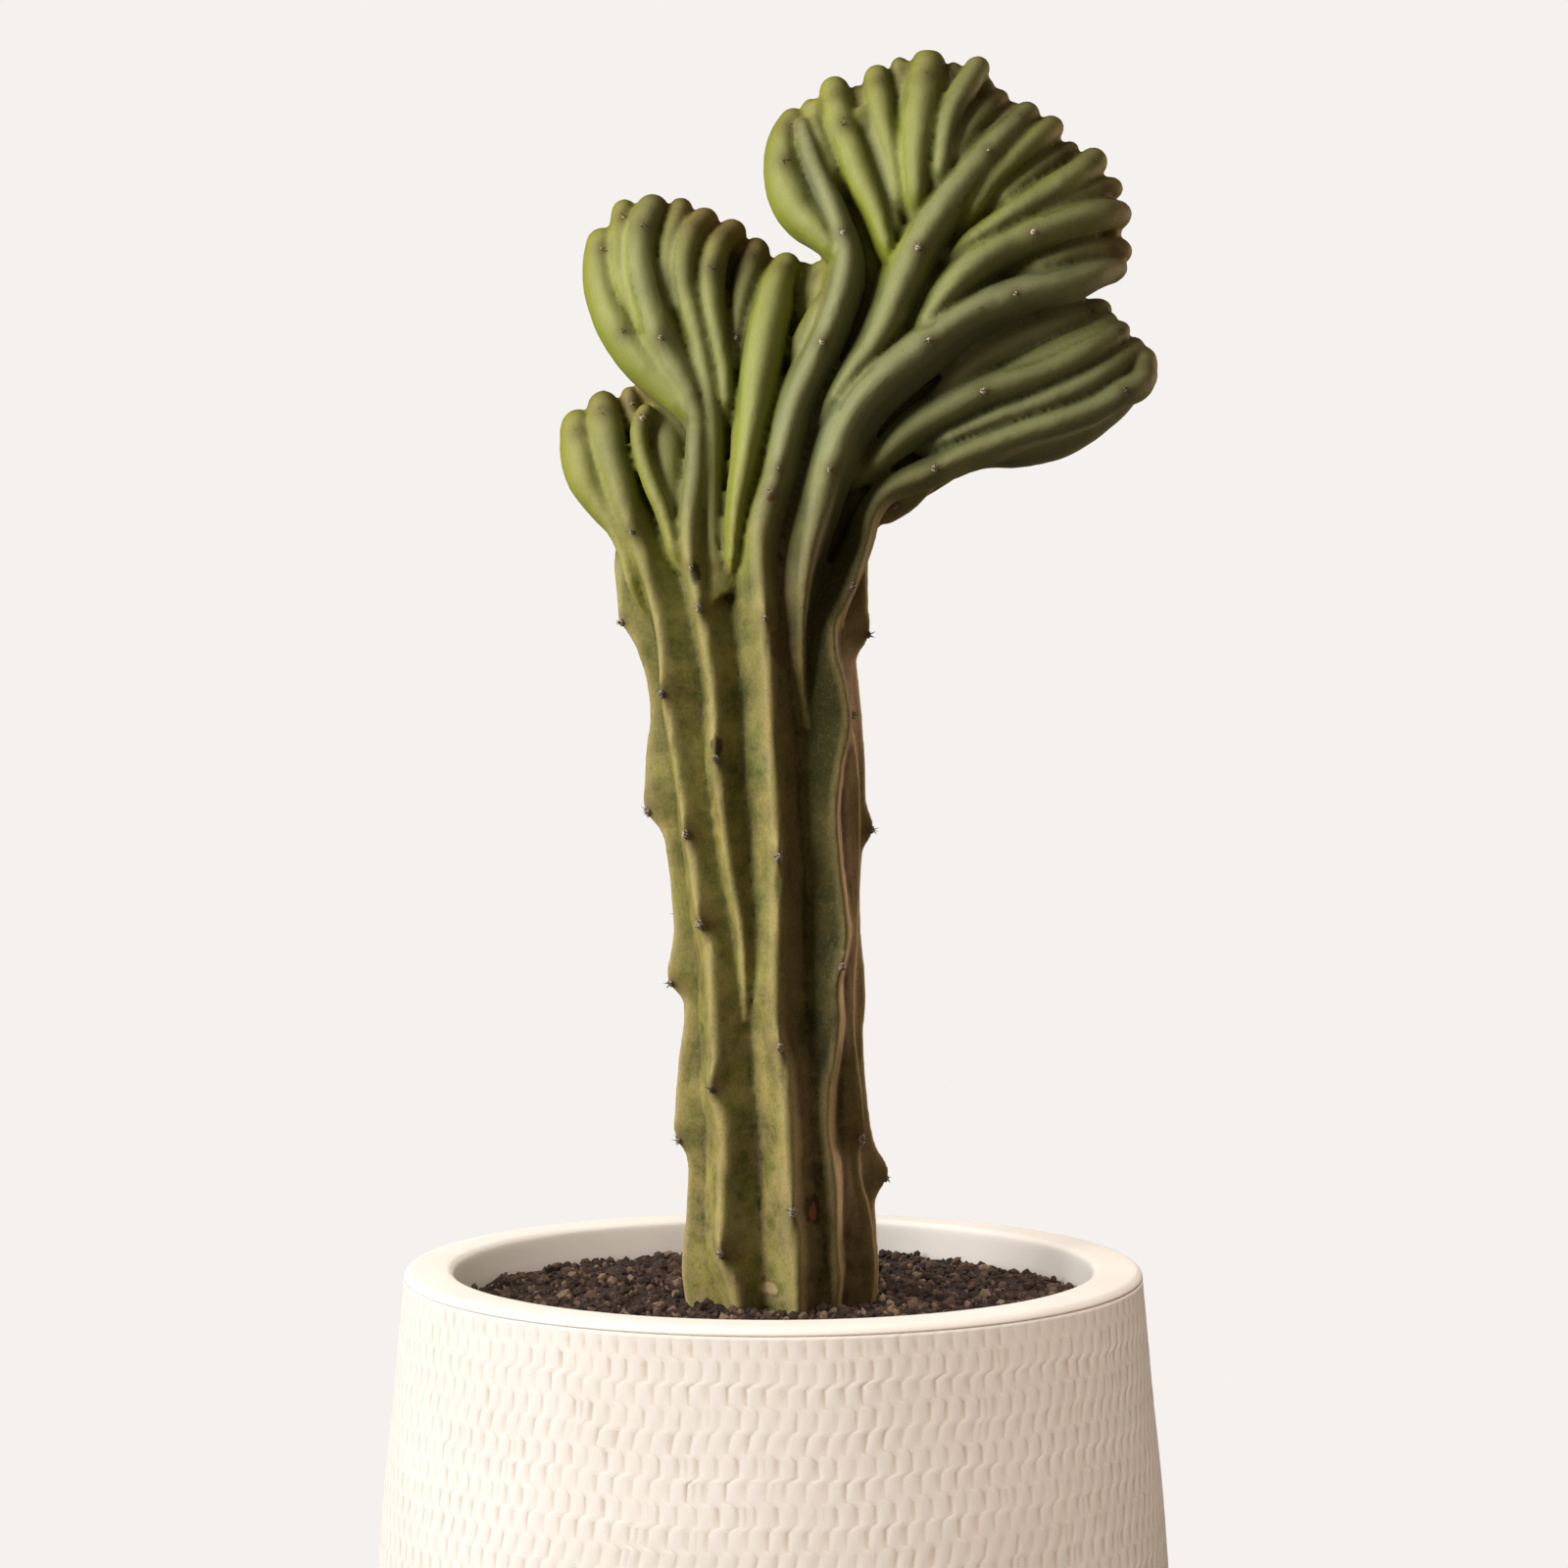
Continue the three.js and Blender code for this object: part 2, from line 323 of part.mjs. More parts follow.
// One station of a rib: the place of its ridge, which way it faces, and the sizes of its section.
// Face is 1 on the front and -1 on the back. FromTip is the distance to the rib's tip, and flat is the
// share of the section's depth that is kept.
function station([x, forward, z, halfWidth], face, { fromTip = OPENING[1], flat = 1 } = {}) {
  const nearer = 1 - (face * forward) / EYE.distance; // a nearer point looks further from the line of sight
  const ridge = new THREE.Vector3(
    EYE.x + (x - EYE.x) * nearer,
    -face * forward,
    EYE.aboveSoil + (z - EYE.aboveSoil) * nearer,
  );
  const onStem = 1 - smoothstep(z, ...STEM_TOP); // 1 on the stem, 0 in the crest
  const open = smoothstep(fromTip, ...OPENING);
  const { tip, finger, stem } = SECTIONS;
  const blend = (name) => lerp(lerp(tip[name], finger[name], open), stem[name], onStem);
  const radius = halfWidth * blend('crown');
  const toAxis = new THREE.Vector3(coreAt(z)[1] - ridge.x, -ridge.y, 0);
  const reach = toAxis.length();
  toAxis.x *= FACING;
  const inward = new THREE.Vector3(0, face, 0).lerp(toAxis.normalize(), onStem).normalize();
  const depth = lerp(forward + PAST_MIDDLE, reach - SHORT_OF_AXIS, onStem);
  const keel = Math.max(depth / flat - radius, halfWidth * LEAST_KEEL);
  return {
    ridge,
    centre: ridge.clone().addScaledVector(inward, radius * flat),
    outward: inward.negate(),
    halfWidth,
    radius,
    turn: THREE.MathUtils.degToRad(blend('turn')),
    drop: Math.min(halfWidth * blend('drop'), keel * KEEL_TAPER),
    keel,
    flat,
  };
}

// A rib's section as [sideways, outward] from the crown's centre: the crown, then a flank and the keel on
// each hand.
function section({ radius, turn, drop, keel }, crownPoints) {
  const points = [];
  for (let k = 0; k < crownPoints; k++) {
    const angle = turn * ((2 * k) / (crownPoints - 1) - 1);
    points.push([Math.sin(angle) * radius, Math.cos(angle) * radius]);
  }
  const foot = Math.sin(turn) * radius + (drop + Math.cos(turn) * radius) / Math.tan(turn);
  points.push([foot, -drop], [foot * KEEL_TAPER, -keel], [-foot * KEEL_TAPER, -keel], [-foot, -drop]);
  return points;
}

// A rib is a sphere's net stretched over its stations: each row of the net is one section, and the two
// poles close the ends. The lower end fades into the body.
function rib(points, { face = 1, crownPoints = 5, round = false, flat = 1 } = {}) {
  let walked = 0;
  const stations = points.map((point, i) => {
    if (i > 0) walked += Math.hypot(point[0] - points[i - 1][0], point[2] - points[i - 1][2]);
    return station(point, face, { fromTip: round ? 0 : walked, flat });
  });
  const rows = [];
  stations.forEach((s, i) => {
    const before = stations[Math.max(i - 1, 0)].centre;
    const after = stations[Math.min(i + 1, stations.length - 1)].centre;
    const along = after.clone().sub(before).normalize();
    const outward = s.outward.clone().addScaledVector(along, -s.outward.dot(along)).normalize();
    const side = outward.clone().cross(along);
    const row = ([slide, scale, sink]) => {
      const centre = s.centre.clone().addScaledVector(along, slide * s.halfWidth);
      centre.addScaledVector(outward, -sink * s.halfWidth);
      rows.push({ ...s, centre, outward, side, scale });
    };
    if (i === 0) TIP_ROWS.forEach(row);
    row([0, 1, 0]);
    if (i === stations.length - 1) END_ROWS.forEach(row);
  });
  const columns = crownPoints + 4;
  const net = new THREE.SphereGeometry(1, columns, rows.length - 1);
  const position = net.getAttribute('position');
  rows.forEach((r, i) => {
    const outline = section(r, crownPoints);
    for (let k = 0; k <= columns; k++) {
      const [sideways, outward] = outline[k % columns];
      const p = r.centre.clone();
      p.addScaledVector(r.side, sideways * r.scale).addScaledVector(r.outward, outward * r.scale * r.flat);
      position.setXYZ(i * (columns + 1) + k, p.x, p.y, p.z);
    }
  });
  return solidOf(net);
}

// The back fingers of one lobe, each from between two front tips to the hub.
function backFingers({ lobe, hub, forward: deepest }) {
  const { lower, long, short, bow, width, widths, narrowing, tipBack, deepening } = BACK_FINGER;
  const tips = Object.values(lobe)
    .map((points) => points[0])
    .filter(([, forward]) => forward < BACK_FINGER.tipWithin);
  return tips.slice(1).map((tip, i) => {
    const other = tips[i];
    const start = [(tip[0] + other[0]) / 2, (tip[2] + other[2]) / 2];
    const reach = i % 2 ? short : long;
    const length = Math.hypot(hub[0] - start[0], hub[1] - start[1]);
    const bend = bow * length * Math.sign(hub[0] - start[0] || 1);
    const apart = Math.hypot(tip[0] - other[0], tip[2] - other[2]);
    const halfWidth = clamp(width * apart, ...widths);
    return BACK_FINGER.stations.map((t) => {
      const s = lerp(lower / length, reach, t);
      const sway = bend * Math.sin(Math.PI * s);
      return [
        start[0] + (hub[0] - start[0]) * s + (sway * (start[1] - hub[1])) / length,
        lerp(tipBack, deepest, Math.sin(Math.min(1, deepening * s) * Math.PI / 2)),
        start[1] + (hub[1] - start[1]) * s + (sway * (hub[0] - start[0])) / length,
        halfWidth * lerp(1, narrowing, t),
      ];
    });
  });
}

// A rib that runs down the back of the stem, swaying a little, from a hub into the soil.
function backStemRib({ top, foot, back }, index) {
  const { steps, halfWidth, from, over, wave, swell, turn, shift, settling, rooting } = BACK_RIB;
  const points = [];
  for (let k = 0; k <= steps; k++) {
    const t = k / steps;
    const z = lerp(top[1], BACK_RIB.foot, t);
    const [, middle] = coreAt(z);
    const sway = wave * Math.sin(turn * k + shift * index);
    const lean = lerp(top[0], foot, Math.min(1, settling * t));
    const taper = 1 - BACK_RIB.taper * smoothstep(-z, ...rooting);
    const depth = lerp(from, back, smoothstep(t, 0, over));
    points.push([middle + (lean - middle) * taper + sway, (depth + swell * sway) * taper, z, halfWidth]);
  }
  return points;
}

// A felt cushion with one short spine, standing on a ridge.
function areole({ at, outward, along }) {
  const side = along.clone().cross(outward).normalize();
  const felt = new THREE.OctahedronGeometry(CUSHION.halfWidth).scale(1, CUSHION.flat, CUSHION.long);
  const spine = new THREE.ConeGeometry(SPINE.radius, SPINE.length, SPINE.sides);
  spine.translate(0, SPINE.length / 2, 0);
  const turn = new THREE.Matrix4().makeBasis(side, outward, side.clone().cross(outward)).setPosition(at);
  return solidOf(felt.applyMatrix4(turn)).add(solidOf(spine.applyMatrix4(turn)));
}

// A point part of the way along a rib's ridge, with the way it faces.
function ridgePoint(points, face, reach) {
  const last = points.length - 1;
  const i = Math.min(Math.floor(reach), last - 1);
  const seen = points[i].map((value, k) => lerp(value, points[i + 1][k], reach - i));
  const s = station(seen, face);
  const along = station(points[i], face).ridge.sub(station(points[i + 1], face).ridge).normalize();
  const outward = s.outward.clone().addScaledVector(along, -s.outward.dot(along)).normalize();
  return { seen, at: s.ridge.addScaledVector(outward, -SUNK), outward, along };
}

// The point of a front ridge that is seen nearest to a place.
function nearestRidge(ribs, [x, z]) {
  let best = { distance: Infinity };
  for (const points of ribs) {
    for (let reach = 0; reach <= points.length - 1; reach += FRONT_STRIDE) {
      const found = ridgePoint(points, 1, reach);
      const distance = Math.hypot(found.seen[0] - x, found.seen[2] - z);
      if (distance < best.distance) best = { distance, found };
    }
  }
  return best.found;
}

// Where areoles stand on the back: at a regular step along each rib, beginning near its tip.
function backAreoles(points) {
  const { step, first, lowest, stride } = BACK_AREOLES;
  const found = [];
  let walked = step - first;
  for (let reach = stride; reach <= points.length - 1; reach += stride) {
    const here = ridgePoint(points, -1, reach);
    walked += here.at.distanceTo(ridgePoint(points, -1, reach - stride).at);
    if (walked < step || here.at.z < lowest) continue;
    found.push(here);
    walked = 0;
  }
  return found;
}

// The cactus.
function core() {
  const [bottom, top] = [CORE[0], CORE[CORE.length - 1]];
  const closed = [top[0] + CORE_CAP[0], top[1], 0, 0];
  const rows = [closed, ...[...CORE].reverse(), [bottom[0] - CORE_CAP[1], bottom[1], 0, 0]];
  const net = new THREE.SphereGeometry(1, CORE_SIDES, rows.length - 1);
  const position = net.getAttribute('position');
  rows.forEach(([z, x, a, b], i) => {
    for (let k = 0; k <= CORE_SIDES; k++) {
      const angle = (2 * Math.PI * (k % CORE_SIDES)) / CORE_SIDES;
      position.setXYZ(i * (CORE_SIDES + 1) + k, x + a * Math.cos(angle), b * Math.sin(angle), z);
    }
  });
  return solidOf(net);
}

// The stem's hole in the soil, or the plain foot that fills it: up to a height, and smaller by a gap.
function socket(gap, top) {
  const profile = SOCKET.map(([r, z], i) => new THREE.Vector2(Math.max(0, r - gap), i < 2 ? z + gap : z));
  const widest = profile[profile.length - 1];
  if (top > widest.y) profile.push(new THREE.Vector2(widest.x, top));
  profile.push(new THREE.Vector2(0, top));
  const turned = new THREE.LatheGeometry(profile, SOCKET_SIDES).rotateX(Math.PI / 2);
  return solidOf(turned.translate(SOCKET_X, 0, 0));
}

function buildCactus() {
  const named = [LOW_LEFT_LOBE, LEFT_LOBE, TOP_LOBE, LOW_RIGHT_LOBE, STEM_SIDES].flatMap(Object.entries);
  const front = named.map(([, points]) => points);
  const back = [...HUBS.flatMap(backFingers), ...BACK_STEM.map(backStemRib)];
  let plant = core();
  for (const points of WEBS) {
    for (const face of [1, -1]) plant = plant.add(rib(points, { face, round: true, flat: WEB_DEPTH }));
  }
  for (const [name, points] of named) {
    plant = plant.add(rib(points, { round: ROUND_RIBS.includes(name) }));
  }
  for (const points of back) plant = plant.add(rib(points, { face: -1, crownPoints: 4 }));
  // Below the soil's surface the plant keeps to its plain foot.
  const ground = solidOf(
    new THREE.CylinderGeometry(GROUND.radius, GROUND.radius, GROUND.depth, SOCKET_SIDES)
      .rotateX(Math.PI / 2)
      .translate(SOCKET_X, 0, GROUND.top - GROUND.depth / 2),
  );
  plant = plant.subtract(ground.subtract(socket(SEAT, SOCKET_MOUTH)));
  plant = plant.add(socket(SEAT, SOCKET[SOCKET.length - 1][1]));
  plant = largest(plant.asOriginal().simplify(SMOOTHING));
  const spots = [...FRONT_AREOLES.map((spot) => nearestRidge(front, spot)), ...back.flatMap(backAreoles)];
  for (const spot of spots) plant = plant.add(areole(spot));
  return largest(plant.asOriginal().simplify(AREOLE_SMOOTHING));
}

// The pot.
function lathe(points, sides) {
  return solidOf(new THREE.LatheGeometry(points, sides).rotateX(Math.PI / 2));
}

function curve(points, steps) {
  return new THREE.SplineCurve(points.map(([r, z]) => new THREE.Vector2(r, z))).getSpacedPoints(steps);
}

function buildPot() {
  const floorTop = POT_INSIDE[POT_INSIDE.length - 1][1];
  const ringInside = POT_OUTSIDE[0][0] - FOOT_RING;
  const profile = [
    new THREE.Vector2(0, FOOT_RISE),
    new THREE.Vector2(ringInside - FOOT_SLOPE, FOOT_RISE),
    new THREE.Vector2(ringInside, 0),
    ...curve(POT_OUTSIDE, OUTSIDE_STEPS),
    ...POT_LIP.map(([r, z]) => new THREE.Vector2(r, z)),
    ...curve(POT_INSIDE, INSIDE_STEPS),
    new THREE.Vector2(0, floorTop),
  ];
  return lathe(profile, POT_SIDES);
}

// The soil.
function surface(x, y) {
  return SOIL_WAVES.reduce((sum, [height, across, along, phase]) => (
    sum + height * Math.sin(across * x + along * y + phase)), 0);
}

function buildSoil() {
  const inside = curve(POT_INSIDE, INSIDE_STEPS).reverse();
  const top = SOIL_LEVEL - SETTLED;
  const wall = inside.filter((p) => p.y < top - SOIL_BEVEL);
  const edge = wall.map((p) => new THREE.Vector2(p.x - SOIL_EDGE, p.y));
  edge[0].y += SEAT;
  const rim = Math.min(edge[edge.length - 1].x, POT_INSIDE[0][0] - SOIL_EDGE);
  const rings = SOIL_RINGS.map((t) => new THREE.Vector2(rim * t, top));
  const profile = [new THREE.Vector2(0, edge[0].y), ...edge, ...rings, new THREE.Vector2(0, top)];
  const body = new THREE.LatheGeometry(profile, SOIL_SIDES).rotateX(Math.PI / 2);
  const position = body.getAttribute('position');
  for (let i = 0; i < position.count; i++) {
    if (position.getZ(i) < top - 1) continue;
    position.setZ(i, top + surface(position.getX(i), position.getY(i)));
  }
  return solidOf(body).subtract(socket(0, SOCKET_MOUTH).translate([0, 0, SOIL_LEVEL]));
}

// The three pieces.
const PIECES = [
  ['cactus', buildCactus().translate([0, 0, SOIL_LEVEL]), { color: 0x6d7440, roughness: 0.55 }],
  ['pot', buildPot(), { color: 0xe9e0cf, roughness: 0.8 }],
  ['soil', buildSoil(), { color: 0x2a211b, roughness: 0.95 }],
];
const group = new THREE.Group();
for (const [name, solid, finish] of PIECES) {
  const mesh = new THREE.Mesh(geometryOf(solid), new THREE.MeshStandardMaterial(finish));
  mesh.name = name;
  group.add(mesh);
}

export default group;
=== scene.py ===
# %% [markdown]
# # A crested blue candle cactus in a stoneware planter
# The plant grew as one piece: a ribbed stem that fans out into a crest of rounded fingers. It stands in
# dark potting soil, in a cream stoneware pot with a low relief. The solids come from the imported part, and
# this lesson dresses them: smooth flesh, felt cushions and spines, grains of soil, and a fired clay wall.

import math
import random

import bmesh
import bpy
import numpy as np
from mathutils import Matrix, Vector, kdtree, noise


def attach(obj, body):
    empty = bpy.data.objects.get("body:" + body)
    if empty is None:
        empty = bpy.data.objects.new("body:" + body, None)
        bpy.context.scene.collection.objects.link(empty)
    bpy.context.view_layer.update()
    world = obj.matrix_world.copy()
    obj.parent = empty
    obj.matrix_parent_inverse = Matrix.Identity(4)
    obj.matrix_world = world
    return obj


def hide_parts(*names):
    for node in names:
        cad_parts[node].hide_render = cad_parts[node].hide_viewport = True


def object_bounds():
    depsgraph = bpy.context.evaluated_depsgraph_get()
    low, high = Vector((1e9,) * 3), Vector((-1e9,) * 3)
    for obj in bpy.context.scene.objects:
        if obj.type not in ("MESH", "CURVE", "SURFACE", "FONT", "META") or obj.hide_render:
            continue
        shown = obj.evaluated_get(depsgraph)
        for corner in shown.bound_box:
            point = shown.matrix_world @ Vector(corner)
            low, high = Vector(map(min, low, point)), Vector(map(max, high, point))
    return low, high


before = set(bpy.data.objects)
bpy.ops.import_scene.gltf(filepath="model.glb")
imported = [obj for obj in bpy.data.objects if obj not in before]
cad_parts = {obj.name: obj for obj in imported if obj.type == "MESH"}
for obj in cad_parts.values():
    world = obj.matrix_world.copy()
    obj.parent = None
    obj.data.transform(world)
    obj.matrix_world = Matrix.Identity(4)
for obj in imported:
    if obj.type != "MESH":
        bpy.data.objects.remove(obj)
cad_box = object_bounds()
print("solids:", sorted(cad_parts), "box", [tuple(round(v, 4) for v in corner) for corner in cad_box])

# %% [markdown]
# ## The camera
# The picture was taken level with the middle of the plant: the pot's lip is seen as a thin ellipse, from
# a little above. The eye is a metre away, and a 70 mm lens gives the plant its size in the frame.

# %% Camera
MM = 0.001
SOIL_LEVEL = 0.220  # the level that the plant is measured from
SETTLED = 0.0024  # the mean surface of the soil lies this far below it
EYE_ASIDE, EYE_AWAY, EYE_UP = 3.5, 1000, 167  # mm right of the pot's axis, before it, above that level
EYE = Vector((EYE_ASIDE * MM, -EYE_AWAY * MM, SOIL_LEVEL + EYE_UP * MM))
camera_data = bpy.data.cameras.new("eye_level")
camera_data.lens = 70
camera_data.sensor_width = 36
camera_data.clip_start = 0.01
camera = bpy.data.objects.new("eye_level", camera_data)
camera.location = EYE
camera.rotation_euler = (math.pi / 2, 0, 0)
bpy.context.scene.collection.objects.link(camera)
bpy.context.scene.camera = camera
bpy.context.scene.view_settings.view_transform = "Standard"
print("camera", tuple(camera.location), "lens", camera_data.lens)

# %% [markdown]
# ## Small helpers
# Colours are picked as sRGB hex values, as a paint card gives them, and Blender's nodes want linear light.
# One function adds a shader node with its settings and its links, so each material reads as a short list.

# %% Helpers
def linear(hex_colour):
    channels = [int(hex_colour[i:i + 2], 16) / 255 for i in (1, 3, 5)]
    return [c / 12.92 if c <= 0.04045 else ((c + 0.055) / 1.055) ** 2.4 for c in channels] + [1.0]


# a socket goes by its name, or by its number where a node has several of one name
def add(material, kind, settings=None, links=None):
    made = material.node_tree.nodes.new("ShaderNode" + kind)
    for name, value in (settings or {}).items():
        if name == "stops":
            ramp = made.color_ramp
            while len(ramp.elements) < len(value):
                ramp.elements.new(0.5)
            for element, (place, colour) in zip(ramp.elements, value):
                element.position = place
                element.color = linear(colour)
        elif isinstance(name, int) or name in made.inputs:
            made.inputs[name].default_value = value
        else:
            setattr(made, name, value)
    for name, source in (links or {}).items():
        material.node_tree.links.new(source, made.inputs[name])
    return made


def blank(name):
    material = bpy.data.materials.new(name)
    material.use_nodes = True
    material.node_tree.nodes.clear()
    return material


def piece(name, bm, material, node, smooth=True):
    mesh = bpy.data.meshes.new(name)
    bm.to_mesh(mesh)
    bm.free()
    return dress(bpy.data.objects.new(name, mesh), material, node, smooth)


def dress(made, material, node, smooth=True):
    bpy.context.scene.collection.objects.link(made)
    made.data.materials.clear()
    made.data.materials.append(material)
    made.data.polygons.foreach_set("use_smooth", [smooth] * len(made.data.polygons))
    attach(made, "root")
    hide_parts(node)
    print(made.name, len(made.data.vertices), "vertices", len(made.data.polygons), "faces")
    return made


def read_points(mesh):
    flat = np.empty(len(mesh.vertices) * 3)
    mesh.vertices.foreach_get("co", flat)
    return flat.reshape(-1, 3)


def read_normals(mesh):
    flat = np.empty(len(mesh.vertices) * 3)
    mesh.vertices.foreach_get("normal", flat)
    return flat.reshape(-1, 3)


def write_points(mesh, points):
    mesh.vertices.foreach_set("co", points.astype(np.float32).ravel())
    mesh.update()


def paint(mesh, name, values):
    attribute = mesh.attributes.new(name, "FLOAT", "POINT")
    attribute.data.foreach_set("value", np.asarray(values, np.float32))


print("helpers ready")

# %% [markdown]
# ## The plan of the plant
# A crested plant doesn't grow from a point but from a winding line, so its ribs start side by side as
# fingers, fuse in pairs as they run down, and a dozen reach the soil. They could be sculpted, but
# a ridge is easier to name: each rib is a row of points, from its tip downwards, and a point is [x, how far
# it stands forward, z above the soil, half width], in millimetres, as seen from the eye.

# %% Ribs of the front
LOW_LEFT_LOBE = {
    "low_outer": [[-63.8, 5, 284, 6.5], [-63.1, 10, 276, 7.4], [-61.2, 12, 268, 7], [-57.2, 13, 260, 5.8],
        [-52.8, 14, 252.5, 4.6], [-49.6, 14, 243, 3.8], [-48, 14, 234, 3.4]],
    "low_main": [[-56, 5, 291, 5.5], [-55, 11, 282, 6], [-52, 15, 270, 6], [-49, 17, 258, 5.5],
        [-45.5, 18, 247, 5], [-42, 19, 235, 4.5], [-38.5, 20, 221, 4.2], [-37, 21, 208, 4.2],
        [-36, 21, 194, 4.2], [-33.5, 22, 181, 4.4], [-31, 22, 167, 4.5], [-29.4, 23, 156, 4.5],
        [-27, 23, 142, 4.5], [-25, 24, 128, 4.5], [-23.5, 24, 119, 4.5], [-21.2, 25, 111, 4.8],
        [-20, 26, 92, 5], [-19.6, 26, 76, 5], [-20.3, 26, 67, 5], [-17.2, 27, 56, 5], [-16.4, 27, 45, 5],
        [-17.2, 27, 30, 5], [-17, 27, 13, 5], [-13, 26, 1, 5], [-10, 22, -14, 4.6], [-8, 15, -34, 4]],
    "low_behind": [[-47, 3, 294.5, 3.2], [-45, 5, 286, 3.2], [-42, 7, 277, 3]],
    "low_edge": [[-42, 12, 289, 3], [-44, 14, 283, 3], [-43, 16, 275, 3], [-40, 18, 266, 3],
        [-36, 20, 256, 3], [-33, 21, 245, 3]],
    "low_face": [[-36, 8, 286, 5.5], [-35, 12, 277, 7], [-34, 15, 264, 5.5], [-32, 17, 250, 3]],
    "low_trunk": [[-25, 18, 293, 3], [-25, 21, 284, 3.6], [-25.5, 22, 270, 4.2], [-27.5, 23, 256, 4.5],
        [-27.6, 23, 243, 4.5], [-25.2, 24, 230, 4.5], [-23, 24.5, 216, 4.5], [-20, 25, 200, 4.5],
        [-19.3, 25.5, 186, 4.3], [-18.4, 25.5, 170, 4], [-16.8, 26, 156, 3.6], [-14.4, 26, 139, 3.2],
        [-11, 26, 121, 2.8], [-9.6, 25.5, 105, 2.4], [-9.4, 23, 90, 1.8]],
}
LEFT_LOBE = {
    "left_outer": [[-56, 5, 344.5, 6], [-56.2, 9, 335, 6.8], [-54, 12, 325, 7], [-49.3, 15, 315.6, 7.5],
        [-43.4, 17, 307.8, 7.5], [-36.6, 18, 300.8, 7], [-30, 19, 293, 5]],
    "left_second": [[-49, 3, 355, 4.5], [-50, 8, 346, 4.5], [-50, 11, 337, 4], [-48, 13, 328, 3.5],
        [-44, 14, 318, 3]],
    "left_big": [[-40, 5, 356, 5.5], [-43, 10, 350, 6], [-44, 14, 340, 6.3], [-42, 17, 330, 7],
        [-38.5, 19, 318, 8], [-34, 20, 307, 8], [-28, 21, 297, 6], [-25, 21, 287, 4]],
    "left_small": [[-30.5, 3, 356, 4], [-32.5, 8, 350, 4.2], [-34.5, 11, 342, 4], [-35, 13, 334, 3.5],
        [-33, 14, 325, 3]],
    "left_fourth": [[-23, 4, 352, 5], [-27, 10, 348, 5], [-29.5, 14, 340, 5], [-29, 16, 330, 5],
        [-26, 18, 320, 5], [-23.5, 19, 309, 5.5], [-21.5, 20, 297, 6], [-20.5, 20, 283, 5.5],
        [-20.5, 20, 266, 5], [-20, 20, 248, 4.5], [-18, 20, 232, 3.5]],
    "left_fifth": [[-14, 4, 348, 5], [-18.5, 10, 344, 5], [-20.5, 14, 336, 5], [-20.5, 17, 326, 5],
        [-18.5, 19, 316, 4.5], [-16.5, 20, 306, 3.5], [-15.5, 20, 294, 3]],
    "left_sixth": [[-6, 3, 342, 4.8], [-8.5, 9, 334, 4.5], [-10.5, 13, 326, 4], [-12, 15, 316, 3],
        [-13, 16, 305, 2.5]],
    "left_tall": [[4, 5, 337, 5], [1, 12, 331, 6], [-1, 18, 322, 7], [-3, 22, 312, 7.5], [-5, 24, 300, 7],
        [-7, 25, 287, 5.5], [-9.5, 26, 272, 4], [-12, 26, 258, 2.8], [-13.5, 24, 242, 2]],
    "notch_dark": [[10, 1, 336, 2.8], [10, 5, 329, 2.8], [9.5, 8, 321, 2.5]],
    "notch_pale": [[15.5, 3, 335, 4.2], [14, 8, 329, 4], [13, 11, 321, 3]],
    "notch_sliver": [[18, 15, 328, 3], [13, 18, 319, 3.5], [9.5, 19, 313, 3.3], [8, 19, 306, 2.5]],
}
